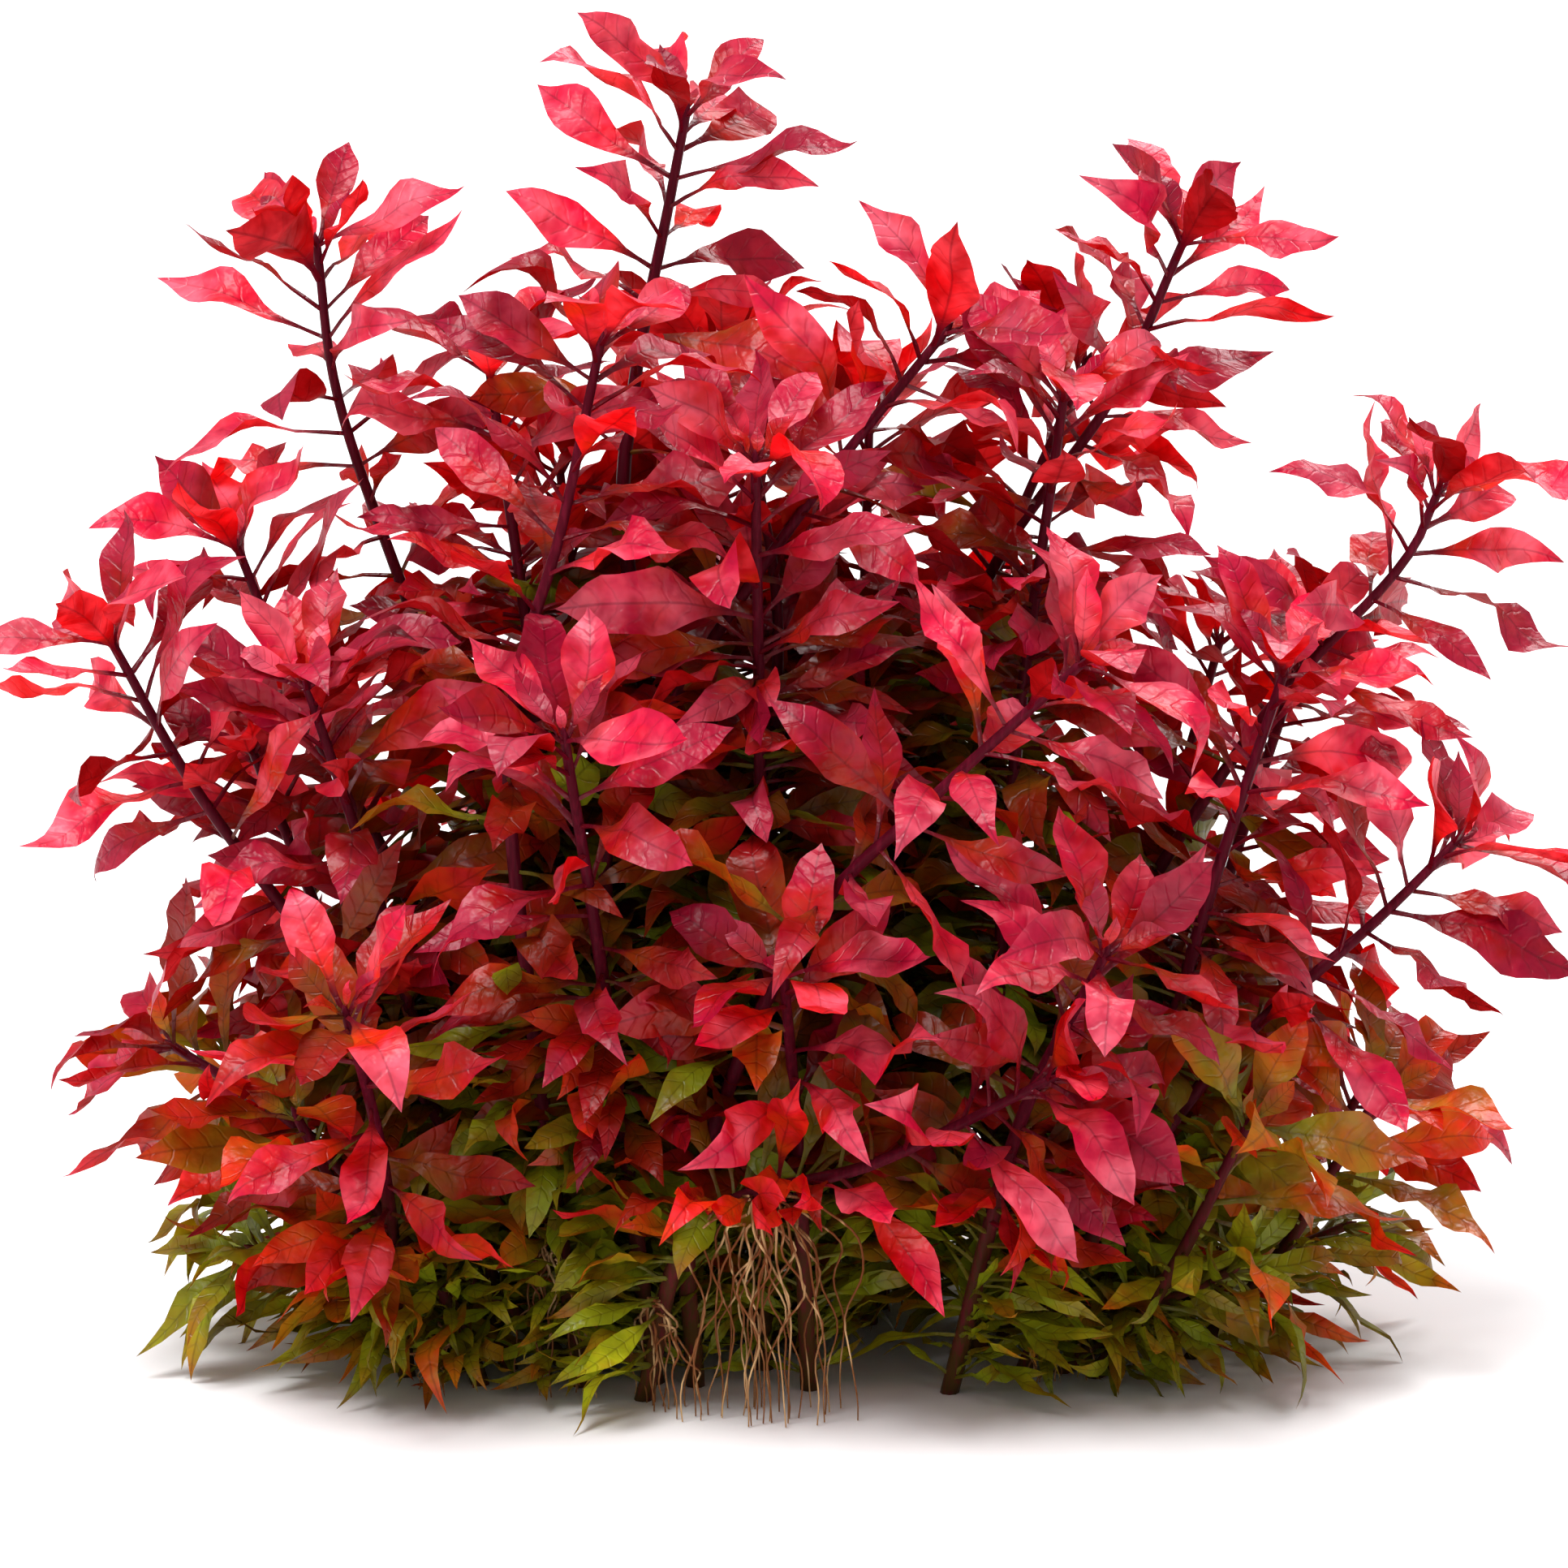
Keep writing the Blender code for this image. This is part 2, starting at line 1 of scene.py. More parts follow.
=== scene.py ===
"""A clump of red ludwigia: fine leaves, stems and thread roots, each in the place of its solid.

Units are metres. +Z is up, the viewer stands at -Y, and the origin is the cut foot of the tallest shoot.
The growth classes repeat the rules that the solids grew by, so that a fine leaf lies on each solid one.
Smaller leaves fill the gaps between them. Each shoot becomes two pieces, its stem and its leaves.
"""

import logging
from collections.abc import Iterator
from dataclasses import dataclass
from enum import Enum
from math import atan2, cos, degrees, exp, pi, radians, sin, sqrt
from random import Random

import bmesh
import bpy
import numpy as np
from bpy.types import Material, Node, NodeSocket, NodeTree, Object, bpy_prop_collection
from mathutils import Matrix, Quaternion, Vector
from mathutils.bvhtree import BVHTree
from mathutils.kdtree import KDTree

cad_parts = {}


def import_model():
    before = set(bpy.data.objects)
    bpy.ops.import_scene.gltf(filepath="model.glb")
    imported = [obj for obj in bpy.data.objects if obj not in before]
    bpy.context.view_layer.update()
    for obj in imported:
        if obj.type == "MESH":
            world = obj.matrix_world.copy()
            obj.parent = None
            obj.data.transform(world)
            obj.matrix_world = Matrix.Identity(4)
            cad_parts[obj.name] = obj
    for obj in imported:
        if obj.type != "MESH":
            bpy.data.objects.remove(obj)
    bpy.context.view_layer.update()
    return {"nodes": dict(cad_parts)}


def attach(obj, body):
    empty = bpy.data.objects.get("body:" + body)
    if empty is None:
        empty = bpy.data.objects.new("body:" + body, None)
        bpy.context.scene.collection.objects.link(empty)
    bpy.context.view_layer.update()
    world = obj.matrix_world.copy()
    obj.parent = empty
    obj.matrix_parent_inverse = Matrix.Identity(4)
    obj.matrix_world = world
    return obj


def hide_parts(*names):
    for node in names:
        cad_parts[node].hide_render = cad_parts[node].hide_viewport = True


Pair = tuple[float, float]
Triple = tuple[float, float, float]

MM = 0.001
UP = Vector((0.0, 0.0, 1.0))
RIM_ANGLE = 75
log = logging.getLogger("ludwigia")


def stray(draw: Random, most: float) -> float:
    """A number drawn between minus most and most."""
    return draw.uniform(-most, most)


def eased(value: float, low: float, high: float) -> float:
    """0 below low, 1 above high and a smooth rise between them."""
    share = min(1.0, max(0.0, (value - low) / (high - low)))
    return share * share * (3.0 - 2.0 * share)


@dataclass(frozen=True)
class Shoot:
    """A stem's route in millimetres, from foot to tip, and how many pairs of leaves its solid bears."""

    name: str
    route: tuple[Triple, ...]
    pairs: int

    def curve(self) -> list[Vector]:
        """A dense smooth curve through the route's points."""
        steps = 16
        points = [Vector(point) * MM for point in self.route]
        points = [points[0] * 2 - points[1], *points, points[-1] * 2 - points[-2]]
        dense = []
        for a, b, c, d in zip(points, points[1:], points[2:], points[3:]):
            for i in range(steps):
                t = i / steps
                bend = (a * 2 - b * 5 + c * 4 - d) * t * t + (b * 3 - a - c * 3 + d) * t * t * t
                dense.append((b * 2 + (c - a) * t + bend) / 2)
        return [*dense, points[-2]]

    def swung(self, swing: float) -> "Shoot":
        """The same shoot turned about the clump's middle by some degrees."""
        cosine, sine = cos(radians(swing)), sin(radians(swing))
        route = tuple((x * cosine - y * sine, x * sine + y * cosine, z) for x, y, z in self.route)
        return Shoot(self.name, route, self.pairs)


@dataclass(frozen=True)
class Tier:
    """A ring of shoots of one height. Reaches are shares of the clump's spread, and depth narrows it."""

    name: str
    count: int
    first_turn: float
    foot_reach: float
    tip_reach: float
    height: float
    knee_reach: float
    knee_height: float
    depth: float
    pairs: int


@dataclass(frozen=True)
class Tuft:
    """Thread roots that hang from a knot to the ground and lean away from the stem, in millimetres."""

    name: str
    knot: Triple
    lean: Triple
    threads: int
    spread: float


LEADING_SHOOTS = (
    Shoot(
        "shoot_tall_centre",
        ((0, 0, 0), (-14, 3, 60), (-25, 6, 126), (-24, 6, 154), (-18, 5, 185), (-15.5, 5, 198)),
        9,
    ),
    Shoot("shoot_left_top", ((-30, 6, 0), (-43, 8, 66), (-58, 10, 112), (-71, 10, 151), (-74.5, 10, 177)), 8),
    Shoot(
        "shoot_front_left",
        ((-32, -28, 0), (-39, -38, 62), (-42, -39, 106), (-34, -35, 137), (-28, -32, 165)),
        9,
    ),
    Shoot(
        "shoot_centre_right",
        ((-21, -16, 0), (-28, -21, 83), (-17, -18, 108), (4, -15, 139), (25, -12, 165)),
        9,
    ),
    Shoot("shoot_right_top", ((14, 10, 0), (19, 10, 72), (31, 8, 120), (52, 4, 153), (63, 2, 178)), 7),
    Shoot("shoot_right_upper", ((36, 2, 0), (48, 0, 54), (74, -4, 100), (97, -6, 127), (103, -6, 139)), 8),
    Shoot(
        "shoot_right_lower",
        ((38, -20, 0), (46, -25, 19), (68, -25, 51), (93, -23, 74), (105, -22, 86)),
        8,
    ),
    Shoot(
        "shoot_front_right",
        ((-14, -28, 0), (-14, -38, 33), (2, -51, 76), (22, -58, 99), (44, -62, 120)),
        9,
    ),
    Shoot(
        "shoot_left_side",
        ((-44, -18, 0), (-52, -22, 37), (-73, -22, 68), (-92, -20, 94), (-105, -18, 117)),
        8,
    ),
    Shoot("shoot_left_mid", ((-46, -2, 0), (-57, -2, 64), (-76, 0, 102), (-87, 0, 130)), 6),
    Shoot("shoot_left_low", ((-48, -27, 0), (-54, -29, 16), (-75, -22, 39), (-97, -15, 52)), 5),
    Shoot("shoot_right_inner", ((16, 20, 0), (22, 20, 84), (35, 22, 124), (49, 22, 157)), 5),
    Shoot("shoot_centre_inner", ((3, -8, 0), (-2, -5, 75), (-1, -4, 119), (-5, -4, 145)), 4),
    Shoot("shoot_right_skirt", ((56, 6, 0), (66, 8, 6), (87, 12, 27), (96, 12, 41)), 4),
    Shoot("shoot_front_arch", ((-22, -36, 0), (-13, -46, 31), (14, -53, 42), (40, -58, 56)), 4),
    Shoot("shoot_front_middle", ((4, -30, 0), (2, -44, 44), (0, -58, 72)), 4),
    Shoot("shoot_front_corner", ((26, -32, 0), (36, -46, 46), (48, -62, 76)), 4),
    Shoot("shoot_left_corner", ((-60, -22, 0), (-62, -42, 40), (-66, -58, 66)), 4),
)

TIERS = (
    Tier("shoot_upper", 9, 20, 0.42, 0.44, 150 * MM, 0.40, 0.60, 1.0, 3),
    Tier("shoot_shoulder", 12, 5, 0.66, 0.80, 106 * MM, 0.55, 0.60, 1.0, 4),
    Tier("shoot_skirt", 12, 12, 0.86, 0.93, 46 * MM, 0.50, 0.42, 0.88, 4),
    Tier("shoot_ground", 9, 0, 0.72, 0.86, 20 * MM, 0.45, 0.55, 0.66, 3),
)

TUFTS = (
    Tuft("roots_front_centre", (-3, -52.2, 34.6), (0, -1, 0), 30, 17),
    Tuft("roots_front_left", (-37, -35, 24), (-0.6, -0.8, 0), 12, 10),
    Tuft("roots_front_middle", (-20.6, -43, 16), (-0.8, -0.6, 0), 12, 10),
    Tuft("roots_left", (-53, -31.8, 10), (0, -1, 0), 9, 8),
    Tuft("roots_right", (43.5, -26.2, 9), (0.4, -0.9, 0), 9, 8),
    Tuft("roots_back", (18, 23.8, 20), (0, 1, 0), 12, 10),
)


@dataclass(frozen=True)
class Level:
    """A ring of a stem: its centre, the stem's direction there, its side axes, its radius and its leaves."""

    centre: Vector
    growth: Vector
    side: Vector
    front: Vector
    radius: float = 0.0
    from_tip: float = 0.0
    leafy: str = ""

    def outward(self, face: float) -> Vector:
        """The direction in which a face of the stem looks, counted in quarter turns."""
        turn = radians(90 * face)
        return self.side * cos(turn) + self.front * sin(turn)

    def towards(self, other: "Level", share: float) -> "Level":
        """The ring on the way to another one.

        Args:
            other: The other ring.
            share: How far along the way, from 0 to 1.

        Returns:
            The ring between them.
        """
        growth = self.growth.lerp(other.growth, share).normalized()
        side = self.side.lerp(other.side, share)
        side = (side - growth * side.dot(growth)).normalized()
        centre = self.centre.lerp(other.centre, share)
        radius = self.radius + (other.radius - self.radius) * share
        from_tip = self.from_tip + (other.from_tip - self.from_tip) * share
        return Level(centre, growth, side, growth.cross(side), radius, from_tip)


@dataclass(frozen=True)
class StemRules:
    """How a stem grows: its radii, and how its rings and pairs of leaves follow each other."""

    foot_radius: float = 1.5 * MM
    main_foot_radius: float = 2.2 * MM
    tip_radius: float = 0.75 * MM
    ring_spacing: float = 26 * MM
    bud_length: float = 2.2 * MM
    first_pair_at: float = 5.5 * MM
    pair_spacing: float = 8.6 * MM
    spacing_growth: float = 0.5 * MM
    lowest_leaf_base: float = 7 * MM

    def point_below(self, curve: list[Vector], from_tip: float) -> Vector:
        """The point of a curve at a distance below its end.

        Args:
            curve: The dense curve.
            from_tip: The distance along it.

        Returns:
            The point, or the curve's first one where it is shorter.
        """
        for above, below in zip(curve[::-1], curve[-2::-1]):
            step = (above - below).length
            if from_tip <= step:
                return above.lerp(below, from_tip / step)
            from_tip -= step
        return curve[0].copy()

    def levels(self, shoot: Shoot, foot_radius: float, fine_step: float | None = None) -> list[Level]:
        """The rings of a shoot's stem.

        Args:
            shoot: The shoot.
            foot_radius: The stem's radius at the foot.
            fine_step: The distance between rings for a smooth stem. None gives the solid's own rings.

        Returns:
            The rings, in order from the foot.
        """
        curve = shoot.curve()
        length = sum((b - a).length for a, b in zip(curve, curve[1:]))
        if fine_step:
            count = max(2, round(length / fine_step))
            stops = [(length * i / count, "") for i in range(count + 1)]
        else:
            stops = self.solid_stops(shoot, curve, length)
        stops.reverse()
        centres = [curve[0], *(self.point_below(curve, from_tip) for from_tip, _ in stops[1:])]
        turn = radians(Random(shoot.name).uniform(0, 90))
        side = Vector((cos(turn), sin(turn), 0.0))
        front, heading = UP.cross(side), UP
        levels = []
        for i, (centre, (from_tip, leafy)) in enumerate(zip(centres, stops)):
            if i:
                ahead = (centres[min(i + 1, len(centres) - 1)] - centres[i - 1]).normalized()
                bend = heading.rotation_difference(ahead)
                side, front, heading = bend @ side, bend @ front, ahead
            radius = self.tip_radius + (foot_radius - self.tip_radius) * from_tip / length
            levels.append(Level(centre, heading, side, front, radius, from_tip, leafy))
        return levels

    def solid_stops(self, shoot: Shoot, curve: list[Vector], length: float) -> list[tuple[float, str]]:
        """Where the solid stem has its rings.

        Args:
            shoot: The shoot.
            curve: Its dense curve.
            length: The curve's length.

        Returns:
            How far below the tip each ring lies, and the name of the leaves it bears.
        """
        stops = [(0.0, "crown")]
        for number in range(shoot.pairs):
            from_tip = self.first_pair_at + self.pair_spacing * number + self.spacing_growth * number * number
            if from_tip < length and self.point_below(curve, from_tip).z > self.lowest_leaf_base:
                stops.append((from_tip, "odd" if number % 2 else "even"))
        bare = length - stops[-1][0]
        steps = max(1, round(bare / self.ring_spacing))
        return stops + [(stops[-1][0] + bare * (i + 1) / steps, "") for i in range(steps)]


@dataclass(frozen=True)
class Plan:
    """A place for a leaf on a stem, and how the leaf would stand there."""

    level: Level
    face: float
    swing: float
    pitch: float
    size: float
    bend: float
    roll: float
    droop: float = 0.0


@dataclass(frozen=True)
class Leaf:
    """A leaf as a bent strip: where it starts, where it heads, its upper side and its size.

    The strip has a pair of points at each of its shares of the length, spread over a share of the width.
    """

    base: Vector
    direction: Vector
    normal: Vector
    length: float
    width: float
    bend: float
    from_tip: float
    strip_start: float = 0.06
    strip: tuple[Pair, ...] = ((0.36, 0.4), (0.58, 0.7), (0.8, 0.4))

    def spine(self, share: float) -> Vector:
        """The point on the midrib at a share of the length."""
        angle = self.bend * share
        along = self.direction * (sin(angle) / self.bend)
        drop = self.normal * ((1.0 - cos(angle)) / self.bend)
        return self.base + (along - drop) * self.length

    def ribbon(self) -> tuple[list[Vector], list[tuple[int, ...]]]:
        """The leaf's strip, to test for room.

        Returns:
            The points, the tip last, and the faces.
        """
        side = self.direction.cross(self.normal)
        points = [self.spine(self.strip_start)]
        for share, spread in self.strip:
            middle = self.spine(share)
            points += [middle + side * self.width / 2 * spread, middle - side * self.width / 2 * spread]
        points.append(self.spine(1.0))
        return points, [(0, 1, 2), (1, 3, 4, 2), (3, 5, 6, 4), (5, 7, 6)]


TRIES = (
    *((0, 0, 1.0), (14, -9, 0.97), (-14, 9, 0.97), (28, 5, 0.92)),
    *((-28, -12, 0.92), (42, 14, 0.85), (-42, -5, 0.85), (0, -24, 0.8)),
)
MORE_TRIES = ((56, -14, 0.85), (-56, 12, 0.85), (20, 22, 0.8), (-20, -26, 0.8), (70, 4, 0.8), (-70, -4, 0.8))
FACES = {"crown": (0, 1, 2, 3), "even": (0, 2), "odd": (1, 3), "": ()}


@dataclass(frozen=True)
class LeafRules:
    """How leaves grow on a stem: their size and stance by age, and how far single ones stray from it.

    Angles are in degrees. Each of the tries turns and tilts a leaf and shortens it, to find it room.
    """

    length: float = 29 * MM
    width_share: float = 0.27
    crown_size: float = 0.72
    crown_size_step: float = 0.06
    young_size: float = 0.85
    young_reach: float = 12 * MM
    old_loss: float = 0.30
    old_from: float = 45 * MM
    old_reach: float = 60 * MM
    crown_pitch: float = 35
    crown_pitch_step: float = 8
    old_pitch: float = 67.0
    young_lift: float = 20.0
    lift_reach: float = 26 * MM
    droop_reach: float = 60 * MM
    crown_pitch_stray: float = 5
    pitch_stray: float = 10
    size_stray: Pair = (0.88, 1.15)
    swing_stray: float = 16
    bend_range: Pair = (12, 52)
    roll_stray: float = 34
    most_twist: float = 60
    most_droop: float = 0.5
    growth_pull: float = 0.35
    up_pull: float = 0.55
    side_pull: float = 0.5
    face_pull: float = 0.62
    side_reach: float = 106 * MM
    back_from: float = 14 * MM
    ground_gap: float = 0.4 * MM
    tries: tuple[Triple, ...] = TRIES

    def size_at(self, from_tip: float) -> float:
        """How big a leaf is at a distance below the tip, as a share of a full one."""
        young = min(1.0, self.young_size + (1.0 - self.young_size) * from_tip / self.young_reach)
        old = max(0.0, from_tip - self.old_from) / self.old_reach
        return young * (1.0 - self.old_loss * min(old, 1.0))

    def plan(self, draw: Random, level: Level, face: float, from_tip: float, crown: bool = False) -> Plan:
        """Draws how a leaf stands at a place on the stem: upright when young, level when old.

        Args:
            draw: The shoot's chance.
            level: The ring that bears the leaf.
            face: The face of the stem, in quarter turns.
            from_tip: The distance below the tip.
            crown: Whether it is one of the leaves round the bud.

        Returns:
            The place and the stance.
        """
        if crown:
            pitch = self.crown_pitch + self.crown_pitch_step * face + stray(draw, self.crown_pitch_stray)
            size = self.crown_size + self.crown_size_step * face
        else:
            lift = self.young_lift * exp(-from_tip / self.lift_reach)
            pitch = self.old_pitch - lift + stray(draw, self.pitch_stray)
            size = self.size_at(from_tip) * draw.uniform(*self.size_stray)
        swing = stray(draw, self.swing_stray)
        bend = draw.uniform(*self.bend_range)
        roll = stray(draw, self.roll_stray)
        droop = min(1.0, from_tip / self.droop_reach) * draw.uniform(0.0, self.most_droop)
        return Plan(level, face, swing, pitch, size, bend, roll, droop)

    def solid_plans(self, shoot: Shoot, levels: list[Level]) -> Iterator[Plan]:
        """The places of the solid's leaves, in the order they were drawn in.

        Args:
            shoot: The shoot.
            levels: The rings of its solid stem.

        Yields:
            The places, from the crown down.
        """
        draw = Random(shoot.name + " leaves")
        from_tip = 0.0
        for number in range(len(levels) - 1, 0, -1):
            level = levels[number]
            for face in FACES[level.leafy]:
                yield self.plan(draw, level, face, from_tip, level.leafy == "crown")
            from_tip += (level.centre - levels[number - 1].centre).length

    def leaf(self, plan: Plan, change: Triple = TRIES[0]) -> Leaf:
        """The leaf of a plan, changed by one of the tries.

        Args:
            plan: The place and the stance.
            change: The degrees to turn and tilt the leaf by, and the share of its length that it keeps.

        Returns:
            The leaf, with its upper side turned towards the light.
        """
        turned, tilted, shortened = change
        level = plan.level
        around, lean = radians(plan.swing + turned), radians(plan.pitch + tilted)
        square = level.outward(plan.face)
        outward = square * cos(around) + level.growth.cross(square) * sin(around)
        direction = level.growth * cos(lean) + outward * sin(lean)
        direction = (direction - UP * plan.droop * sin(lean)).normalized()
        behind = 1.0 if level.centre.y > self.back_from else -1.0
        sideways = self.side_pull * level.centre.x / self.side_reach
        facing = level.growth * self.growth_pull + Vector((sideways, self.face_pull * behind, self.up_pull))
        untwisted = (level.growth - direction * level.growth.dot(direction)).normalized()
        twist = degrees(atan2(direction.dot(untwisted.cross(facing)), untwisted.dot(facing)))
        twist = max(-self.most_twist, min(self.most_twist, twist + plan.roll))
        normal = Quaternion(direction, radians(twist)) @ untwisted
        length = self.length * plan.size * shortened
        base = level.centre + square * level.radius * cos(radians(45))
        width = length * self.width_share
        return Leaf(base, direction, normal, length, width, radians(plan.bend), level.from_tip)


class SolidPoints:
    """The corners of one solid, to find out which of the tried leaves it bears."""

    within = 0.05 * MM

    def __init__(self, node: Object) -> None:
        """Reads the corners of a solid."""
        self.tree = KDTree(len(node.data.vertices))
        for vertex in node.data.vertices:
            self.tree.insert(vertex.co, vertex.index)
        self.tree.balance()

    def holds(self, point: Vector) -> bool:
        """Whether the solid has a corner at a point."""
        return self.tree.find(point)[2] < self.within


class Room:
    """The space that leaves already take: a search tree of each one's strip, and a sphere round it."""

    most = 8192

    def __init__(self) -> None:
        """Starts with nothing taken."""
        self.trees: list[BVHTree] = []
        self.spheres = np.zeros((self.most, 4))

    def take(self, points: list[Vector], faces: list[tuple[int, ...]], shared: bool = False) -> bool:
        """Takes the space of a strip, if it is free or may be shared.

        Args:
            points: The strip's points.
            faces: Its faces.
            shared: Whether the strip may meet others.

        Returns:
            Whether the space was taken.
        """
        tree = BVHTree.FromPolygons(points, faces)
        middle = sum(points, Vector()) / len(points)
        reach = max((point - middle).length for point in points)
        spheres = self.spheres[: len(self.trees)]
        gaps = ((spheres[:, :3] - np.array(middle)) ** 2).sum(axis=1)
        near = np.nonzero(gaps < (spheres[:, 3] + reach) ** 2)[0]
        if not shared and any(tree.overlap(self.trees[i]) for i in near):
            return False
        self.spheres[len(self.trees)] = (*middle, reach)
        self.trees.append(tree)
        return True


@dataclass
class Growth:
    """Where every shoot and leaf of the clump stands.

    A pass of small leaves has a first step, a first turn and a size. The root window is the half width, the
    front and the height of the space in which no small leaf may hide the roots.
    """

    stem: StemRules = StemRules()
    leaf: LeafRules = LeafRules()
    small: LeafRules = LeafRules(
        length=27 * MM, width_share=0.245, face_pull=0.45, up_pull=0.7, tries=TRIES + MORE_TRIES
    )
    foot_spread: Pair = (80 * MM, 43 * MM)
    tip_spread: Pair = (106 * MM, 78 * MM)
    tip_spacing: float = 21 * MM
    turn_stray: float = 5
    height_stray: Pair = (0.9, 1.08)
    window_height: float = 50 * MM
    window_half_width: float = 46 * MM
    swings: tuple[float, ...] = (0, 5, -5, 10, -10, 15, -15)
    fine_step: float = 3.5 * MM
    lower_step: float = 4.5 * MM
    step_stray: Pair = (0.85, 1.2)
    pair_turn_stray: float = 0.2
    lowest: float = 6 * MM
    passes: tuple[Triple, ...] = ((0.0, 0.5, 1.0), (0.5, 1.5, 0.9), (0.25, 1.0, 0.95), (0.8, 0.3, 0.9))
    root_window: Triple = (32 * MM, -28 * MM, 34 * MM)
    green_heights: tuple[float, ...] = (3 * MM, 5 * MM, 8 * MM, 11 * MM, 14 * MM, 17 * MM, 21 * MM)
    green_turns: Triple = (-64, 0, 64)
    green_turn_stray: float = 24
    green_size: Pair = (0.34, 0.7)
    green_pitch: Pair = (30, 88)
    green_droop: Pair = (-0.2, 0.1)
    green_roll: float = 60
    green_bend: Pair = (8, 45)

    def fillers(self) -> Iterator[Shoot]:
        """The tiers' shoots. One whose tip is too near another's is left out.

        Yields:
            The shoots, in order round the clump.
        """
        tips = [Vector(shoot.route[-1]) * MM for shoot in LEADING_SHOOTS]
        for tier in TIERS:
            draw = Random(tier.name)
            number = 0
            for i in range(tier.count):
                turn = radians(tier.first_turn + 360 * i / tier.count + stray(draw, self.turn_stray))
                height = tier.height * draw.uniform(*self.height_stray)
                across, back = cos(turn), sin(turn)
                foot = Vector((self.foot_spread[0] * across, self.foot_spread[1] * back, 0)) * tier.foot_reach
                tip = Vector((self.tip_spread[0] * across, self.tip_spread[1] * back * tier.depth, 0))
                tip *= tier.tip_reach
                knee = foot.lerp(tip, tier.knee_reach) + UP * height * tier.knee_height
                tip.z = height
                in_front = abs(tip.x) < self.window_half_width and tip.y < 0
                in_window = tier.height < self.window_height and in_front
                if in_window or min((tip - other).length for other in tips) < self.tip_spacing:
                    continue
                tips.append(tip)
                number += 1
                route = tuple(tuple(point / MM) for point in (foot, knee, tip))
                yield Shoot(f"{tier.name}_{number:02d}", route, tier.pairs)

    def shoots(self, nodes: dict[str, Object]) -> Iterator[tuple[Shoot, float, SolidPoints]]:
        """Every shoot that has a solid, turned as the solid is.

        Args:
            nodes: The solids by name.

        Yields:
            The shoot, its foot's radius and its solid's corners.
        """
        for shoot in LEADING_SHOOTS:
            first = shoot is LEADING_SHOOTS[0]
            radius = self.stem.main_foot_radius if first else self.stem.foot_radius
            yield shoot, radius, SolidPoints(nodes[shoot.name])
        for shoot in self.fillers():
            if shoot.name not in nodes:
                continue
            corners = SolidPoints(nodes[shoot.name])
            for moved in map(shoot.swung, self.swings):
                crown = self.stem.levels(moved, self.stem.foot_radius)[-1]
                if corners.holds(crown.centre + crown.growth * self.stem.bud_length):
                    yield moved, self.stem.foot_radius, corners
                    break

    def solid_leaves(self, shoot: Shoot, radius: float, corners: SolidPoints) -> Iterator[Leaf]:
        """The leaves that a shoot's solid bears.

        Args:
            shoot: The shoot.
            radius: Its foot's radius.
            corners: Its solid's corners.

        Yields:
            The leaves, where the solid has them.
        """
        for plan in self.leaf.solid_plans(shoot, self.stem.levels(shoot, radius)):
            tried = (self.leaf.leaf(plan, change) for change in self.leaf.tries)
            borne = next((leaf for leaf in tried if corners.holds(leaf.spine(1.0))), None)
            if borne:
                yield borne

    def small_leaves(self, shoot: Shoot, fine: list[Level], room: Room, number: int) -> Iterator[Leaf]:
        """The leaves of one pass between the solid's pairs and below them, where there is room.

        Args:
            shoot: The shoot.
            fine: The rings of its smooth stem.
            room: The space taken so far, to which these leaves are added.
            number: The pass. The first one also fills the places between the solid's pairs.

        Yields:
            The leaves.
        """
        offset, first_turn, size = self.passes[number]
        draw = Random(f"{shoot.name} small leaves {number}")
        pairs = [level.from_tip for level in self.stem.levels(shoot, fine[0].radius)[::-1] if level.leafy]
        stops = []
        if number == 0:
            stops = [((above + below) / 2, 1.0) for above, below in zip(pairs, pairs[1:])]
        lower = pairs[-1] + self.lower_step * (1.0 + offset)
        while lower < fine[0].from_tip:
            stops.append((lower, size))
            lower += self.lower_step * draw.uniform(*self.step_stray)
        for order, (from_tip, share) in enumerate(stops):
            level = self.level_at(fine, from_tip)
            if level.centre.z < self.lowest:
                continue
            turn = first_turn + order + stray(draw, self.pair_turn_stray)
            for face in (turn, turn + 2):
                yield from self.fitting(self.small.plan(draw, level, face, from_tip), share, room)

    def green_leaves(self, shoot: Shoot, fine: list[Level], room: Room) -> Iterator[Leaf]:
        """The leaves near a shoot's foot, which spread outwards from the clump just over the ground.

        Args:
            shoot: The shoot.
            fine: The rings of its smooth stem.
            room: The space taken so far, to which these leaves are added.

        Yields:
            The leaves.
        """
        draw = Random(shoot.name + " green leaves")
        foot = fine[0].centre
        away = atan2(foot.y / self.foot_spread[1], foot.x / self.foot_spread[0])
        for height in self.green_heights:
            level = min(fine, key=lambda ring: abs(ring.centre.z - height))
            for turn in self.green_turns:
                bearing = away + radians(turn + stray(draw, self.green_turn_stray))
                heading = Vector((cos(bearing), sin(bearing), 0.0))
                face = degrees(atan2(heading.dot(level.front), heading.dot(level.side))) / 90
                size, pitch = draw.uniform(*self.green_size), draw.uniform(*self.green_pitch)
                droop = draw.uniform(*self.green_droop)
                roll, bend = stray(draw, self.green_roll), draw.uniform(*self.green_bend)
                yield from self.fitting(Plan(level, face, 0.0, pitch, size, bend, roll, droop), 1.0, room)

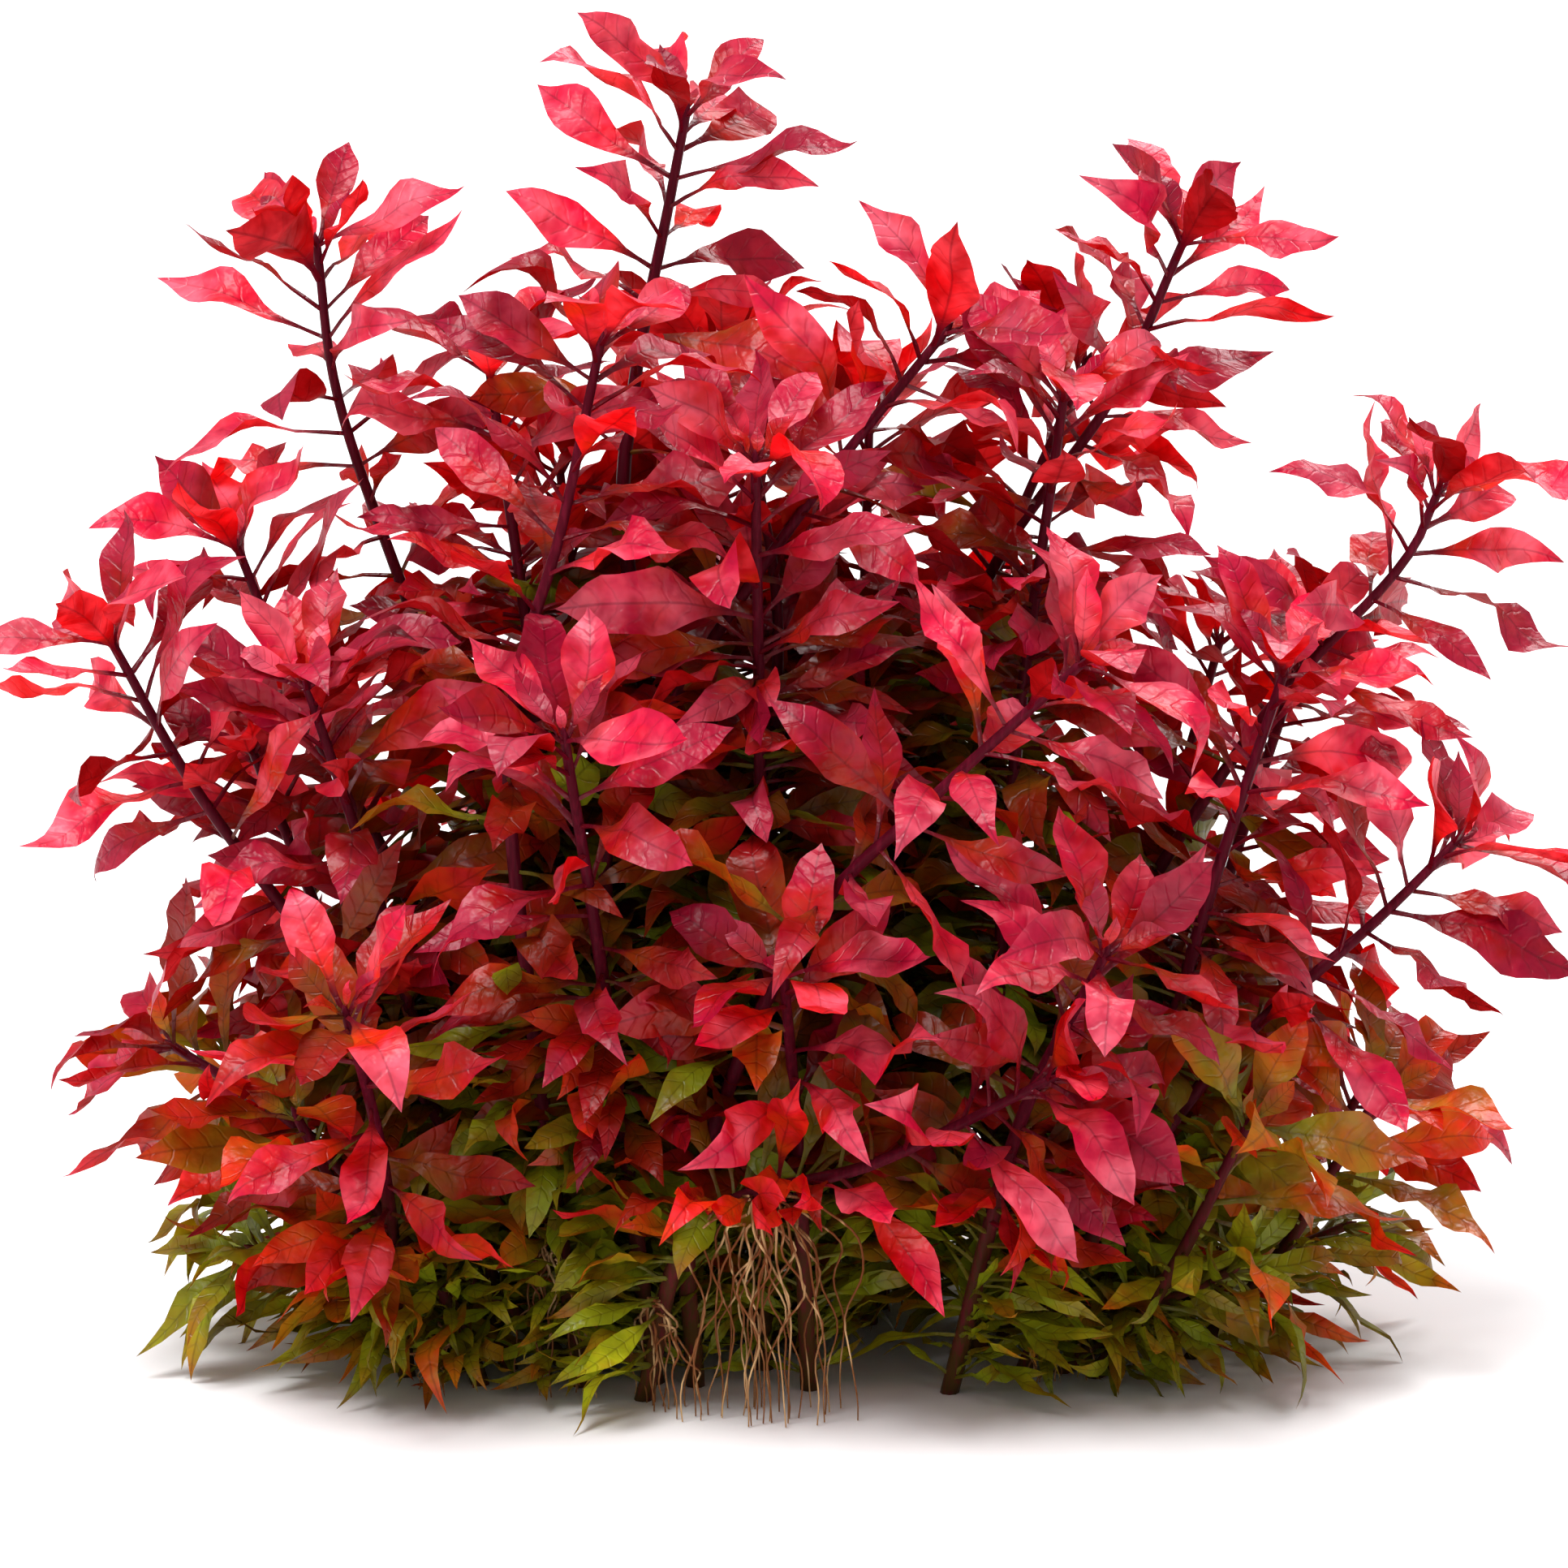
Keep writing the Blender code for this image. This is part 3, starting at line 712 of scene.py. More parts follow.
    def fitting(self, plan: Plan, share: float, room: Room) -> Iterator[Leaf]:
        """Finds room for a leaf and takes it.

        Args:
            plan: The leaf's place and stance.
            share: The share of its size that it grows to.
            room: The space taken so far.

        Yields:
            The first of the tried leaves that has room, if one has.
        """
        half_width, front, height = self.root_window
        for turned, tilted, shortened in self.small.tries:
            leaf = self.small.leaf(plan, (turned, tilted, shortened * share))
            points, faces = leaf.ribbon()
            tip = points[-1]
            hides_roots = abs(tip.x) < half_width and tip.y < front and tip.z < height
            too_low = min(point.z for point in points) < self.small.ground_gap
            if not too_low and not hides_roots and room.take(points, faces):
                yield leaf
                return

    def level_at(self, fine: list[Level], from_tip: float) -> Level:
        """The ring of a stem at a distance below its tip.

        Args:
            fine: The rings of the smooth stem.
            from_tip: The distance.

        Returns:
            The ring between its two neighbours.
        """
        for below, above in zip(fine, fine[1:]):
            if above.from_tip <= from_tip:
                share = (below.from_tip - from_tip) / (below.from_tip - above.from_tip)
                return below.towards(above, share)
        return fine[-1]


class Bench:
    """The modelling bench: selects and reads one mesh at a time."""

    @staticmethod
    def clear() -> None:
        """Leaves every object unselected."""
        for thing in bpy.context.selected_objects:
            thing.select_set(False)

    @staticmethod
    def pick(piece: Object, wanted: set[int]) -> None:
        """Selects some vertices of the mesh under edit.

        Args:
            piece: The mesh's object.
            wanted: The vertices' numbers.
        """
        body = bmesh.from_edit_mesh(piece.data)
        bpy.ops.mesh.select_all(action="DESELECT")
        for vertex in body.verts:
            vertex.select_set(vertex.index in wanted)
        body.select_flush_mode()
        bmesh.update_edit_mesh(piece.data)

    @staticmethod
    def read(rows: bpy_prop_collection, value: str, width: int = 1, kind: type = np.int32) -> np.ndarray:
        """One value of every vertex, corner or face of a mesh."""
        values = np.zeros(len(rows) * width, dtype=kind)
        rows.foreach_get(value, values)
        return values


@dataclass(frozen=True)
class Blank:
    """A shape modelled once, ready to be bent into many copies: its points, faces and pattern coordinates."""

    points: np.ndarray
    corners: np.ndarray
    starts: np.ndarray
    finishes: np.ndarray
    pattern: np.ndarray

    @staticmethod
    def of(piece: Object, width: float = 1.0, length: float = 1.0) -> "Blank":
        """Reads a finished object into a blank and removes the object.

        Args:
            piece: The object.
            width: The width that pattern coordinates count across it.
            length: The length that they count along it.

        Returns:
            The blank.
        """
        mesh = piece.data
        points = Bench.read(mesh.vertices, "co", 3, float).reshape(-1, 3)
        corners = Bench.read(mesh.loops, "vertex_index")
        starts = Bench.read(mesh.polygons, "loop_start")
        finishes = Bench.read(mesh.polygons, "material_index")
        bpy.data.objects.remove(piece)
        return Blank(points, corners, starts, finishes, points[corners][:, :2] / (width, length) + (0.5, 0.0))


@dataclass(frozen=True)
class BladeForm:
    """The flat form of a leaf: where its stalk ends, stations along it, and its half width at each.

    Stations are shares of the length, and half widths are shares of the widest.
    """

    stalk_end: float
    stations: tuple[float, ...]
    halves: tuple[float, ...]
    columns: int = 2
    length: float = 29 * MM
    width: float = 7.8 * MM
    blade_thickness: float = 0.3 * MM
    stalk_thickness: float = 0.75 * MM
    tip_from: float = 0.8
    tip_thinning: float = 0.5
    weld: float = 0.001 * MM

    def thickness(self, along: float) -> float:
        """How thick the leaf is at a share of its length."""
        thin = eased(along, self.stalk_end - 0.1, self.stalk_end + 0.12)
        tip = 1.0 - self.tip_thinning * eased(along, self.tip_from, 1.0)
        return (self.stalk_thickness + (self.blade_thickness - self.stalk_thickness) * thin) * tip

    def blank(self) -> Blank:
        """Models the leaf flat and closed, its upper and lower skins joined at the rim.

        Returns:
            The blank, with +Y along the leaf and +Z on its upper side.
        """
        Bench.clear()
        rows = len(self.stations) - 1
        bpy.ops.mesh.primitive_grid_add(x_subdivisions=self.columns, y_subdivisions=rows, size=2)
        piece = bpy.context.object
        bpy.ops.object.mode_set(mode="EDIT")
        vertices = bmesh.from_edit_mesh(piece.data).verts
        grid = [(v.index, v.co.x, round((v.co.y + 1) / 2 * rows)) for v in vertices]
        for row, (along, half) in enumerate(zip(self.stations, self.halves)):
            Bench.pick(piece, {index for index, _, at in grid if at == row})
            bpy.ops.transform.resize(value=(half * self.width / 2, 1, 1))
            bpy.ops.transform.translate(value=(0, along * self.length - (2 * row / rows - 1), 0))
        bpy.ops.mesh.select_all(action="SELECT")
        bpy.ops.mesh.duplicate()
        bpy.ops.mesh.flip_normals()
        for face in bmesh.from_edit_mesh(piece.data).faces:
            face.material_index = int(face.select)
        inner = [index for index, x, _ in grid if abs(x) < 0.99]
        for offset, side in ((0, 1), (len(grid), -1)):
            for row, (along, half) in enumerate(zip(self.stations, self.halves)):
                lift = side * self.thickness(along) / 2 * (half > 0)
                Bench.pick(piece, {i + offset for i in inner if grid[i][2] == row})
                bpy.ops.transform.translate(value=(0, 0, lift))
        bpy.ops.mesh.select_all(action="SELECT")
        bpy.ops.mesh.remove_doubles(threshold=self.weld)
        bpy.ops.mesh.select_all(action="DESELECT")
        bpy.ops.mesh.select_non_manifold()
        bpy.ops.mesh.edge_face_add()
        bpy.ops.mesh.select_all(action="SELECT")
        bpy.ops.mesh.normals_make_consistent(inside=False)
        bpy.ops.object.mode_set(mode="OBJECT")
        return Blank.of(piece, self.width, self.length)


class LeafKind(Enum):
    """The leaf forms of the clump."""

    MATURE = BladeForm(
        0.24,
        (0.0, 0.12, 0.21, 0.29, 0.36, 0.43, 0.50, 0.57, 0.64, 0.71, 0.78, 0.85, 0.91, 0.96, 1.0),
        (0.13, 0.11, 0.17, 0.31, 0.49, 0.69, 0.87, 0.98, 1.0, 0.90, 0.71, 0.47, 0.27, 0.12, 0.0),
    )
    BROAD = BladeForm(
        0.18,
        (0.0, 0.10, 0.18, 0.25, 0.32, 0.39, 0.46, 0.53, 0.61, 0.69, 0.77, 0.84, 0.90, 0.95, 1.0),
        (0.12, 0.10, 0.17, 0.35, 0.58, 0.80, 0.97, 1.07, 1.10, 1.04, 0.92, 0.72, 0.46, 0.18, 0.0),
    )
    SMALL = BladeForm(
        0.2,
        (0.0, 0.16, 0.25, 0.34, 0.44, 0.55, 0.66, 0.76, 0.86, 0.94, 1.0),
        (0.15, 0.12, 0.28, 0.60, 0.90, 1.03, 0.98, 0.77, 0.44, 0.15, 0.0),
    )
    NARROW = BladeForm(
        0.22,
        (0.0, 0.14, 0.24, 0.34, 0.44, 0.54, 0.64, 0.74, 0.84, 0.93, 1.0),
        (0.11, 0.09, 0.16, 0.36, 0.56, 0.65, 0.62, 0.49, 0.30, 0.11, 0.0),
    )


@dataclass(frozen=True)
class Sprung:
    """How one leaf's blade leaves the flat: its fold, waves, twist, curl and sabre bend."""

    fold: float
    wave: float
    waves: float
    phases: tuple[float, ...]
    twist: float
    curl: float
    sabre: float
    sway: float
    widened: float
    swell_power: float = 0.7
    scallop: float = 0.08
    more_scallops: float = 0.7
    curl_from: float = 0.7
    curl_gain: float = 4
    sway_turns: float = 1.4
    twist_gain: float = 1.5

    @staticmethod
    def drawn(draw: Random, young: float) -> "Sprung":
        """Draws a blade's shape. Young leaves are more cupped and less wavy.

        Args:
            draw: The shoot's chance.
            young: How young the leaf is, from 0 to 1.

        Returns:
            The shape.
        """
        return Sprung(
            fold=draw.uniform(-0.1, 0.35) + 0.2 * young,
            wave=draw.uniform(0.2, 0.7) * (1.0 - 0.5 * young),
            waves=draw.uniform(1.0, 2.2),
            phases=tuple(draw.uniform(0, 2 * pi) for _ in range(4)),
            twist=radians(stray(draw, 65)) * (1.0 - 0.5 * young),
            curl=draw.uniform(-0.6, 0.5),
            sabre=stray(draw, 0.06),
            sway=draw.uniform(0.0, 0.065),
            widened=draw.uniform(0.88, 1.15) + 0.17 * young,
        )

    def bent(self, flat: np.ndarray, form: BladeForm, leaf: Leaf) -> np.ndarray:
        """The blank's points on the bent, folded and waved leaf.

        Args:
            flat: The blank's points.
            form: The form it was modelled to.
            leaf: Where the leaf stands.

        Returns:
            The points in the clump's frame.
        """
        along = flat[:, 1] / form.length
        across = flat[:, 0] * (leaf.width / form.width) * self.widened
        half = leaf.width / 2
        rim = np.abs(across) / half
        blade = np.clip((along - form.stalk_end) / (1.0 - form.stalk_end), 0.0, 1.0)
        swell = np.sin(pi * blade) ** self.swell_power
        side_phase = np.where(across > 0, self.phases[0], self.phases[1])
        ripple = np.sin(2 * pi * self.waves * blade + side_phase)
        lift = flat[:, 2] + half * self.wave * rim * ripple * swell
        lift += np.abs(across) * self.fold * swell
        scallops = np.sin(2 * pi * (self.waves + self.more_scallops) * blade + self.phases[2])
        across = across * (1.0 + self.scallop * scallops * swell)
        lift += leaf.length * self.curl * np.clip(along - self.curl_from, 0.0, 1.0) ** 2 * self.curl_gain
        lift += leaf.length * self.sway * np.sin(2 * pi * self.sway_turns * along + self.phases[3]) * swell
        shift = leaf.length * self.sabre * np.sin(pi * np.clip(along, 0.0, 1.0))
        angle = leaf.bend * along
        direction, normal = np.array(leaf.direction), np.array(leaf.normal)
        side = np.cross(direction, normal)
        sine, cosine = np.sin(angle)[:, None], np.cos(angle)[:, None]
        spine = np.array(leaf.base) + (direction * sine - normal * (1.0 - cosine)) * (leaf.length / leaf.bend)
        upper = normal * cosine + direction * sine
        turned = self.twist * self.twist_gain * np.clip(along - form.stalk_end, 0.0, 1.0)
        sine, cosine = np.sin(turned)[:, None], np.cos(turned)[:, None]
        placed = spine + side * (across[:, None] * cosine - lift[:, None] * sine + shift[:, None])
        placed += upper * (lift[:, None] * cosine + across[:, None] * sine)
        placed[:, 2] = np.maximum(placed[:, 2], 0.0)
        return placed


@dataclass(frozen=True)
class TubeForm:
    """A round tube of unit length and radius, closed at both ends, to be bent into stems and roots."""

    sides: int
    rings: int

    def blank(self) -> Blank:
        """Models the tube upright from a cylinder cut into rings.

        Returns:
            The blank.
        """
        Bench.clear()
        bpy.ops.mesh.primitive_cylinder_add(
            vertices=self.sides, radius=1.0, depth=1.0, location=(0, 0, 0.5), end_fill_type="TRIFAN"
        )
        piece = bpy.context.object
        bpy.ops.object.transform_apply(location=True, rotation=False, scale=False)
        bpy.ops.object.mode_set(mode="EDIT")
        bpy.ops.mesh.select_mode(type="EDGE")
        bpy.ops.mesh.select_all(action="DESELECT")
        for edge in bmesh.from_edit_mesh(piece.data).edges:
            first, second = edge.verts
            edge.select_set(abs(first.co.z - second.co.z) > 0.5)
        bmesh.update_edit_mesh(piece.data)
        bpy.ops.mesh.subdivide(number_cuts=self.rings - 2)
        bpy.ops.mesh.select_mode(type="VERT")
        bpy.ops.object.mode_set(mode="OBJECT")
        return Blank.of(piece)


class Joined:
    """Bent copies of blanks, joined into one piece."""

    def __init__(self, name: str) -> None:
        """Starts with no copies."""
        self.name = name
        self.copies: list[tuple[Blank, np.ndarray]] = []
        self.tints: list[np.ndarray] = []

    def add_leaf(self, kind: LeafKind, blank: Blank, leaf: Leaf, sprung: Sprung, tint: Pair) -> None:
        """Adds a leaf bent from its blank, with the tint that its finish reads."""
        self.copies.append((blank, sprung.bent(blank.points, kind.value, leaf)))
        self.tints.append(np.tile(np.array(tint, dtype=np.float32), (len(blank.corners), 1)))

    def add_tube(self, blank: Blank, levels: list[Level], radii: list[float]) -> None:
        """Adds a tube bent along rings.

        Args:
            blank: The straight tube.
            levels: A ring for each of its own.
            radii: The radius at each ring.
        """
        row = np.rint(blank.points[:, 2] * (len(levels) - 1)).astype(int)
        centres, sides, fronts = (
            np.array([getattr(level, part) for level in levels])[row] for part in ("centre", "side", "front")
        )
        reach = np.array(radii)[row][:, None]
        placed = centres + (sides * blank.points[:, :1] + fronts * blank.points[:, 1:2]) * reach
        self.copies.append((blank, placed))

    def piece(self, *finishes: Material) -> Object:
        """Joins the copies.

        Args:
            finishes: The materials, in the order of the blanks' own.

        Returns:
            One smooth object at the origin, with pattern coordinates where it has tints.
        """
        blanks, placed = zip(*self.copies)
        points, corners, starts, before, loops = np.concatenate(placed), [], [], 0, 0
        for blank in blanks:
            corners.append(blank.corners + before)
            starts.append(blank.starts + loops)
            before += len(blank.points)
            loops += len(blank.corners)
        mesh = bpy.data.meshes.new(self.name)
        mesh.vertices.add(before)
        mesh.vertices.foreach_set("co", points.astype(np.float32).ravel())
        mesh.loops.add(loops)
        mesh.loops.foreach_set("vertex_index", np.concatenate(corners).astype(np.int32))
        mesh.polygons.add(sum(len(blank.starts) for blank in blanks))
        mesh.polygons.foreach_set("loop_start", np.concatenate(starts).astype(np.int32))
        mesh.polygons.foreach_set("material_index", np.concatenate([blank.finishes for blank in blanks]))
        if self.tints:
            for layer, values in (("leaf", [blank.pattern for blank in blanks]), ("tint", self.tints)):
                coordinates = np.concatenate(values).astype(np.float32)
                mesh.uv_layers.new(name=layer).uv.foreach_set("vector", coordinates.ravel())
        mesh.update(calc_edges=True)
        mesh.validate()
        mesh.shade_smooth()
        mesh.set_sharp_from_angle(angle=radians(RIM_ANGLE))
        for finish in finishes:
            mesh.materials.append(finish)
        made = bpy.data.objects.new(self.name, mesh)
        bpy.context.scene.collection.objects.link(made)
        return made


class NodeBoard:
    """A short way to lay out shader nodes in a material or a group."""

    def __init__(self, tree: NodeTree) -> None:
        """Takes the tree to lay nodes in."""
        self.tree = tree

    @staticmethod
    def for_material(name: str) -> tuple[Material, "NodeBoard", Node]:
        """A new material, its board and its main shader."""
        finish = bpy.data.materials.new(name)
        finish.use_nodes = True
        return finish, NodeBoard(finish.node_tree), finish.node_tree.nodes["Principled BSDF"]

    def fill(self, node: Node, inputs: dict[str, object]) -> None:
        """Links a node's inputs to other sockets, or sets their values.

        Args:
            node: The node.
            inputs: A socket, a number or a colour for each input by name.
        """
        for name, value in inputs.items():
            if isinstance(value, NodeSocket):
                self.tree.links.new(value, node.inputs[name])
            else:
                colour = node.inputs[name].type == "RGBA"
                node.inputs[name].default_value = (*value, 1.0) if colour else value

    def node(self, kind: str, inputs: dict[str, object] | None = None, **settings: object) -> Node:
        """Lays a new node.

        Args:
            kind: The node's type.
            inputs: A socket or a value for each input by name.
            settings: The node's own settings.

        Returns:
            The node.
        """
        made = self.tree.nodes.new(kind)
        for name, value in settings.items():
            setattr(made, name, value)
        self.fill(made, inputs or {})
        return made

    def maths(self, operation: str, *values: object) -> NodeSocket:
        """The result of a sum on up to three values."""
        return self.node("ShaderNodeMath", dict(enumerate(values)), operation=operation).outputs[0]

    def ramp(self, value: NodeSocket, span: Pair, ends: Pair = (0.0, 1.0)) -> NodeSocket:
        """A smooth step over a span of a value, from the first end to the last."""
        inputs = dict(zip(("From Min", "From Max", "To Min", "To Max"), (*span, *ends)), Value=value)
        return self.node("ShaderNodeMapRange", inputs, interpolation_type="SMOOTHSTEP").outputs["Result"]

    def blend(self, share: object, first: object, second: object, mode: str = "MIX") -> NodeSocket:
        """Two colours mixed by a share."""
        inputs = {"Factor": share, "A": first, "B": second}
        return self.node("ShaderNodeMix", inputs, data_type="RGBA", blend_type=mode).outputs["Result"]

    def noise(self, where: NodeSocket, scale: float, detail: float = 3.0) -> NodeSocket:
        """A cloudy value from 0 to 1."""
        inputs = {"Vector": where, "Scale": scale, "Detail": detail}
        return self.node("ShaderNodeTexNoise", inputs).outputs["Fac"]

    def relief(self, height: NodeSocket, strength: float, depth: float) -> NodeSocket:
        """The surface's direction where it rises and falls with a value."""
        inputs = {"Height": height, "Strength": strength, "Distance": depth}
        return self.node("ShaderNodeBump", inputs).outputs["Normal"]

    def place(self) -> NodeSocket:
        """The place on the object."""
        return self.node("ShaderNodeTexCoord").outputs["Object"]

    def own(self, layer: str) -> tuple[NodeSocket, NodeSocket]:
        """The two coordinates of a pattern that the piece itself carries."""
        pattern = self.node("ShaderNodeUVMap", uv_map=layer).outputs["UV"]
        parts = self.node("ShaderNodeSeparateXYZ", {"Vector": pattern})
        return parts.outputs["X"], parts.outputs["Y"]


class VeinPattern:
    """The shared pattern of a leaf: its midrib, side veins and stalk, as masks over its own coordinates."""

    name = "leaf veins"
    vein_count = 9.0
    wander = 0.9
    wander_scale = 260.0
    fall = (1.0, 0.0)
    vein_span = (0.0, 0.13)
    margin_span = (0.6, 1.0)
    rib_span = (0.01, 0.075)
    stalk_span = (0.12, 0.34)

    @classmethod
    def group(cls) -> NodeTree:
        """Lays out the node group, once.

        Returns:
            The group, which gives the masks and how far along the leaf a point lies.
        """
        found = bpy.data.node_groups.get(cls.name)
        if found:
            return found
        tree = bpy.data.node_groups.new(cls.name, "ShaderNodeTree")
        count = tree.interface.new_socket("Vein Count", in_out="INPUT", socket_type="NodeSocketFloat")
        count.default_value = cls.vein_count
        for output in ("Midrib", "Veins", "Stalk", "Along"):
            tree.interface.new_socket(output, in_out="OUTPUT", socket_type="NodeSocketFloat")
        board = NodeBoard(tree)
        given, kept = board.node("NodeGroupInput"), board.node("NodeGroupOutput")
        across, along = board.own("leaf")
        off_rib = board.maths("MULTIPLY", board.maths("ABSOLUTE", board.maths("SUBTRACT", across, 0.5)), 2.0)
        climb = board.maths("SUBTRACT", board.maths("MULTIPLY", along, given.outputs["Vein Count"]), off_rib)
        wandering = board.noise(board.place(), cls.wander_scale, 2.0)
        climb = board.maths("MULTIPLY_ADD", wandering, cls.wander, climb)
        saw = board.maths("ABSOLUTE", board.maths("SUBTRACT", board.maths("FRACT", climb), 0.5))
        lines = board.ramp(saw, cls.vein_span, cls.fall)
        veins = board.maths("MULTIPLY", lines, board.ramp(off_rib, cls.margin_span, cls.fall))
        midrib = board.ramp(off_rib, cls.rib_span, cls.fall)
        stalk = board.ramp(along, cls.stalk_span, cls.fall)
        board.fill(kept, {"Midrib": midrib, "Veins": veins, "Stalk": stalk, "Along": along})
        return tree


@dataclass(frozen=True)
class LeafFinish:
    """A satin leaf skin that light passes through. Its colour runs from green to red as redness rises.

    A scale is how fine a pattern is, and a span is where a mask starts and is full. The drift, the blush
    and the brightness are each a gain and an offset.
    """

    name: str
    reddest: Triple
    painted_sheen_share: float
    roughness: float
    gloss: float
    through: float = 0.48
    ages: tuple[float, ...] = (0.0, 0.22, 0.42, 0.6, 0.8, 1.0)
    green: Triple = (0.42, 0.50, 0.014)
    olive: Triple = (0.42, 0.30, 0.012)
    amber: Triple = (0.56, 0.17, 0.008)
    orange_red: Triple = (0.66, 0.05, 0.006)
    red: Triple = (0.70, 0.004, 0.008)
    red_stalk: Triple = (0.20, 0.003, 0.022)
    green_stalk: Triple = (0.22, 0.20, 0.02)
    # Painted highlight: a pale pink that stands in for the soft gloss on lit leaves.
    painted_sheen: Triple = (0.86, 0.27, 0.37)
    vein_shade: Triple = (0.4, 0.3, 0.35)
    glow: Triple = (1.25, 0.8, 0.4)
    grain_scale: float = 900.0
    pucker_scale: float = 420.0
    blotch_scale: float = 240.0
    drift_scale: float = 150.0
    sheen_patch_scale: float = 120.0
    drift: Pair = (0.7, -0.35)
    blush: Pair = (0.46, -0.27)
    brightness: Pair = (0.95, 0.33)
    sheen_patch_span: Pair = (0.36, 0.72)
    sheen_redness_span: Pair = (0.62, 1.0)
    sheen_brightness_span: Pair = (0.2, 0.8)
    blotch_span: Pair = (0.36, 0.64)
    blotches: Pair = (0.86, 1.08)
    stalk_age_span: Pair = (0.15, 0.5)
    rib_share: float = 0.5
    vein_share: float = 0.13
    stalk_share: float = 0.92
    pucker_height: float = 2.2
    vein_height: float = -0.8
    relief: Pair = (0.5, 0.3 * MM)
    roughness_spread: float = 0.16

    def colour_by_age(self, board: NodeBoard, index: NodeSocket) -> NodeSocket:
        """Lays out the leaf's colour.

        Args:
            board: The material's board.
            index: The value to read the colour by, 0 for green and 1 for the reddest.

        Returns:
            The colour.
        """
        colours = board.node("ShaderNodeValToRGB", {"Fac": index})
        stops = colours.color_ramp.elements
        shades = (self.green, self.olive, self.amber, self.orange_red, self.red, self.reddest)
        while len(stops) < len(shades):
            stops.new(0.5)
        for stop, position, shade in zip(stops, self.ages, shades):
            stop.position = position
            stop.color = (*shade, 1.0)
        return colours.outputs["Color"]

    def material(self) -> Material:
        """Lays out the finish.

        Returns:
            The material: a colour by age under patches of painted pale pink sheen, darkened by each leaf's
                brightness, with blotches, darker veins and a stalk.
        """
        finish, board, skin = NodeBoard.for_material(self.name)
        veins = board.node("ShaderNodeGroup", node_tree=VeinPattern.group()).outputs
        chance, redness = board.own("tint")
        where = board.place()
        grain = board.noise(where, self.grain_scale, 1.0)
        puckers = board.noise(where, self.pucker_scale, 1.0)
        drift = board.maths("MULTIPLY_ADD", board.noise(where, self.drift_scale), *self.drift)
        blush = board.maths("MULTIPLY_ADD", veins["Along"], *self.blush)
        index = board.maths("ADD", board.maths("ADD", redness, drift), blush)
        # Painted sheen: pale pink patches stand in for gloss highlights. They are strongest on red, bright
        # leaves.
        sheen_patches = board.ramp(board.noise(where, self.sheen_patch_scale), self.sheen_patch_span)
        sheen_cover = board.maths("MULTIPLY", sheen_patches, self.painted_sheen_share)
        sheen_cover = board.maths("MULTIPLY", sheen_cover, board.ramp(index, self.sheen_redness_span))
        sheen_cover = board.maths("MULTIPLY", sheen_cover, board.ramp(chance, self.sheen_brightness_span))
        colour = board.blend(sheen_cover, self.colour_by_age(board, index), self.painted_sheen)
        blotches = board.ramp(board.noise(where, self.blotch_scale), self.blotch_span, self.blotches)
        # The tint's first coordinate, chance, is each leaf's brightness: a random tone with painted shade for
        # leaves deep in the clump.
        bright = board.maths("MULTIPLY", board.maths("MULTIPLY_ADD", chance, *self.brightness), blotches)
        grey = board.node("ShaderNodeCombineColor", {"Red": bright, "Green": bright, "Blue": bright})
        colour = board.blend(1.0, colour, grey.outputs["Color"], "MULTIPLY")
        rib = board.maths("MULTIPLY", veins["Midrib"], self.rib_share)
        lines = board.maths("MAXIMUM", board.maths("MULTIPLY", veins["Veins"], self.vein_share), rib)
        colour = board.blend(lines, colour, board.blend(1.0, colour, self.vein_shade, "MULTIPLY"))
        stalk = board.blend(board.ramp(index, self.stalk_age_span), self.green_stalk, self.red_stalk)
        colour = board.blend(board.maths("MULTIPLY", veins["Stalk"], self.stalk_share), colour, stalk)
        height = board.maths("MULTIPLY_ADD", puckers, self.pucker_height, grain)
        height = board.maths("MULTIPLY_ADD", veins["Veins"], self.vein_height, height)
        smoothest = self.roughness - self.roughness_spread / 2
        inputs = {
            "Base Color": colour,
            "Roughness": board.maths("MULTIPLY_ADD", grain, self.roughness_spread, smoothest),
            "Specular IOR Level": self.gloss,
            "Normal": board.relief(height, *self.relief),
        }
        board.fill(skin, inputs)
        lit_through = board.blend(1.0, colour, self.glow, "MULTIPLY")
        glow = board.node("ShaderNodeBsdfTranslucent", {"Color": lit_through})
        shaders = {0: self.through, 1: skin.outputs["BSDF"], 2: glow.outputs["BSDF"]}
        both = board.node("ShaderNodeMixShader", shaders)
        board.fill(board.tree.nodes["Material Output"], {"Surface": both.outputs["Shader"]})
        return finish


@dataclass(frozen=True)
class StemFinish:
    """A smooth stem or root skin with long streaks. Its colour changes with height."""

    name: str
    low: Triple
    high: Triple
    streak: Triple
    heights: Pair
    roughness: float
    grain: float = 1400.0
    streak_share: float = 0.6
    streak_span: Pair = (0.45, 0.7)
    stretch: Triple = (1.0, 1.0, 0.12)
    cloud_scale: float = 120.0
    wander: float = 30 * MM
    roughness_spread: float = 0.2
    gloss: float = 0.06
    relief: Pair = (0.3, 0.1 * MM)

    def material(self) -> Material:
        """Lays out the finish.

        Returns:
            The material: a colour that changes with height, under streaks.
        """
        finish, board, skin = NodeBoard.for_material(self.name)
        where = board.place()
        height = board.node("ShaderNodeSeparateXYZ", {"Vector": where}).outputs["Z"]
        cloud = board.noise(where, self.cloud_scale)
        climb = board.maths("MULTIPLY_ADD", cloud, self.wander, height)
        colour = board.blend(board.ramp(climb, self.heights), self.low, self.high)
        long = board.node("ShaderNodeMapping", {"Scale": self.stretch, "Vector": where})
        streaks = board.noise(long.outputs["Vector"], self.grain)
        cover = board.ramp(streaks, self.streak_span, (0.0, self.streak_share))
        smoothest = self.roughness - self.roughness_spread / 2
        inputs = {
            "Base Color": board.blend(cover, colour, self.streak),
            "Roughness": board.maths("MULTIPLY_ADD", cloud, self.roughness_spread, smoothest),
            "Specular IOR Level": self.gloss,
            "Normal": board.relief(streaks, *self.relief),
        }
        board.fill(skin, inputs)
        return finish
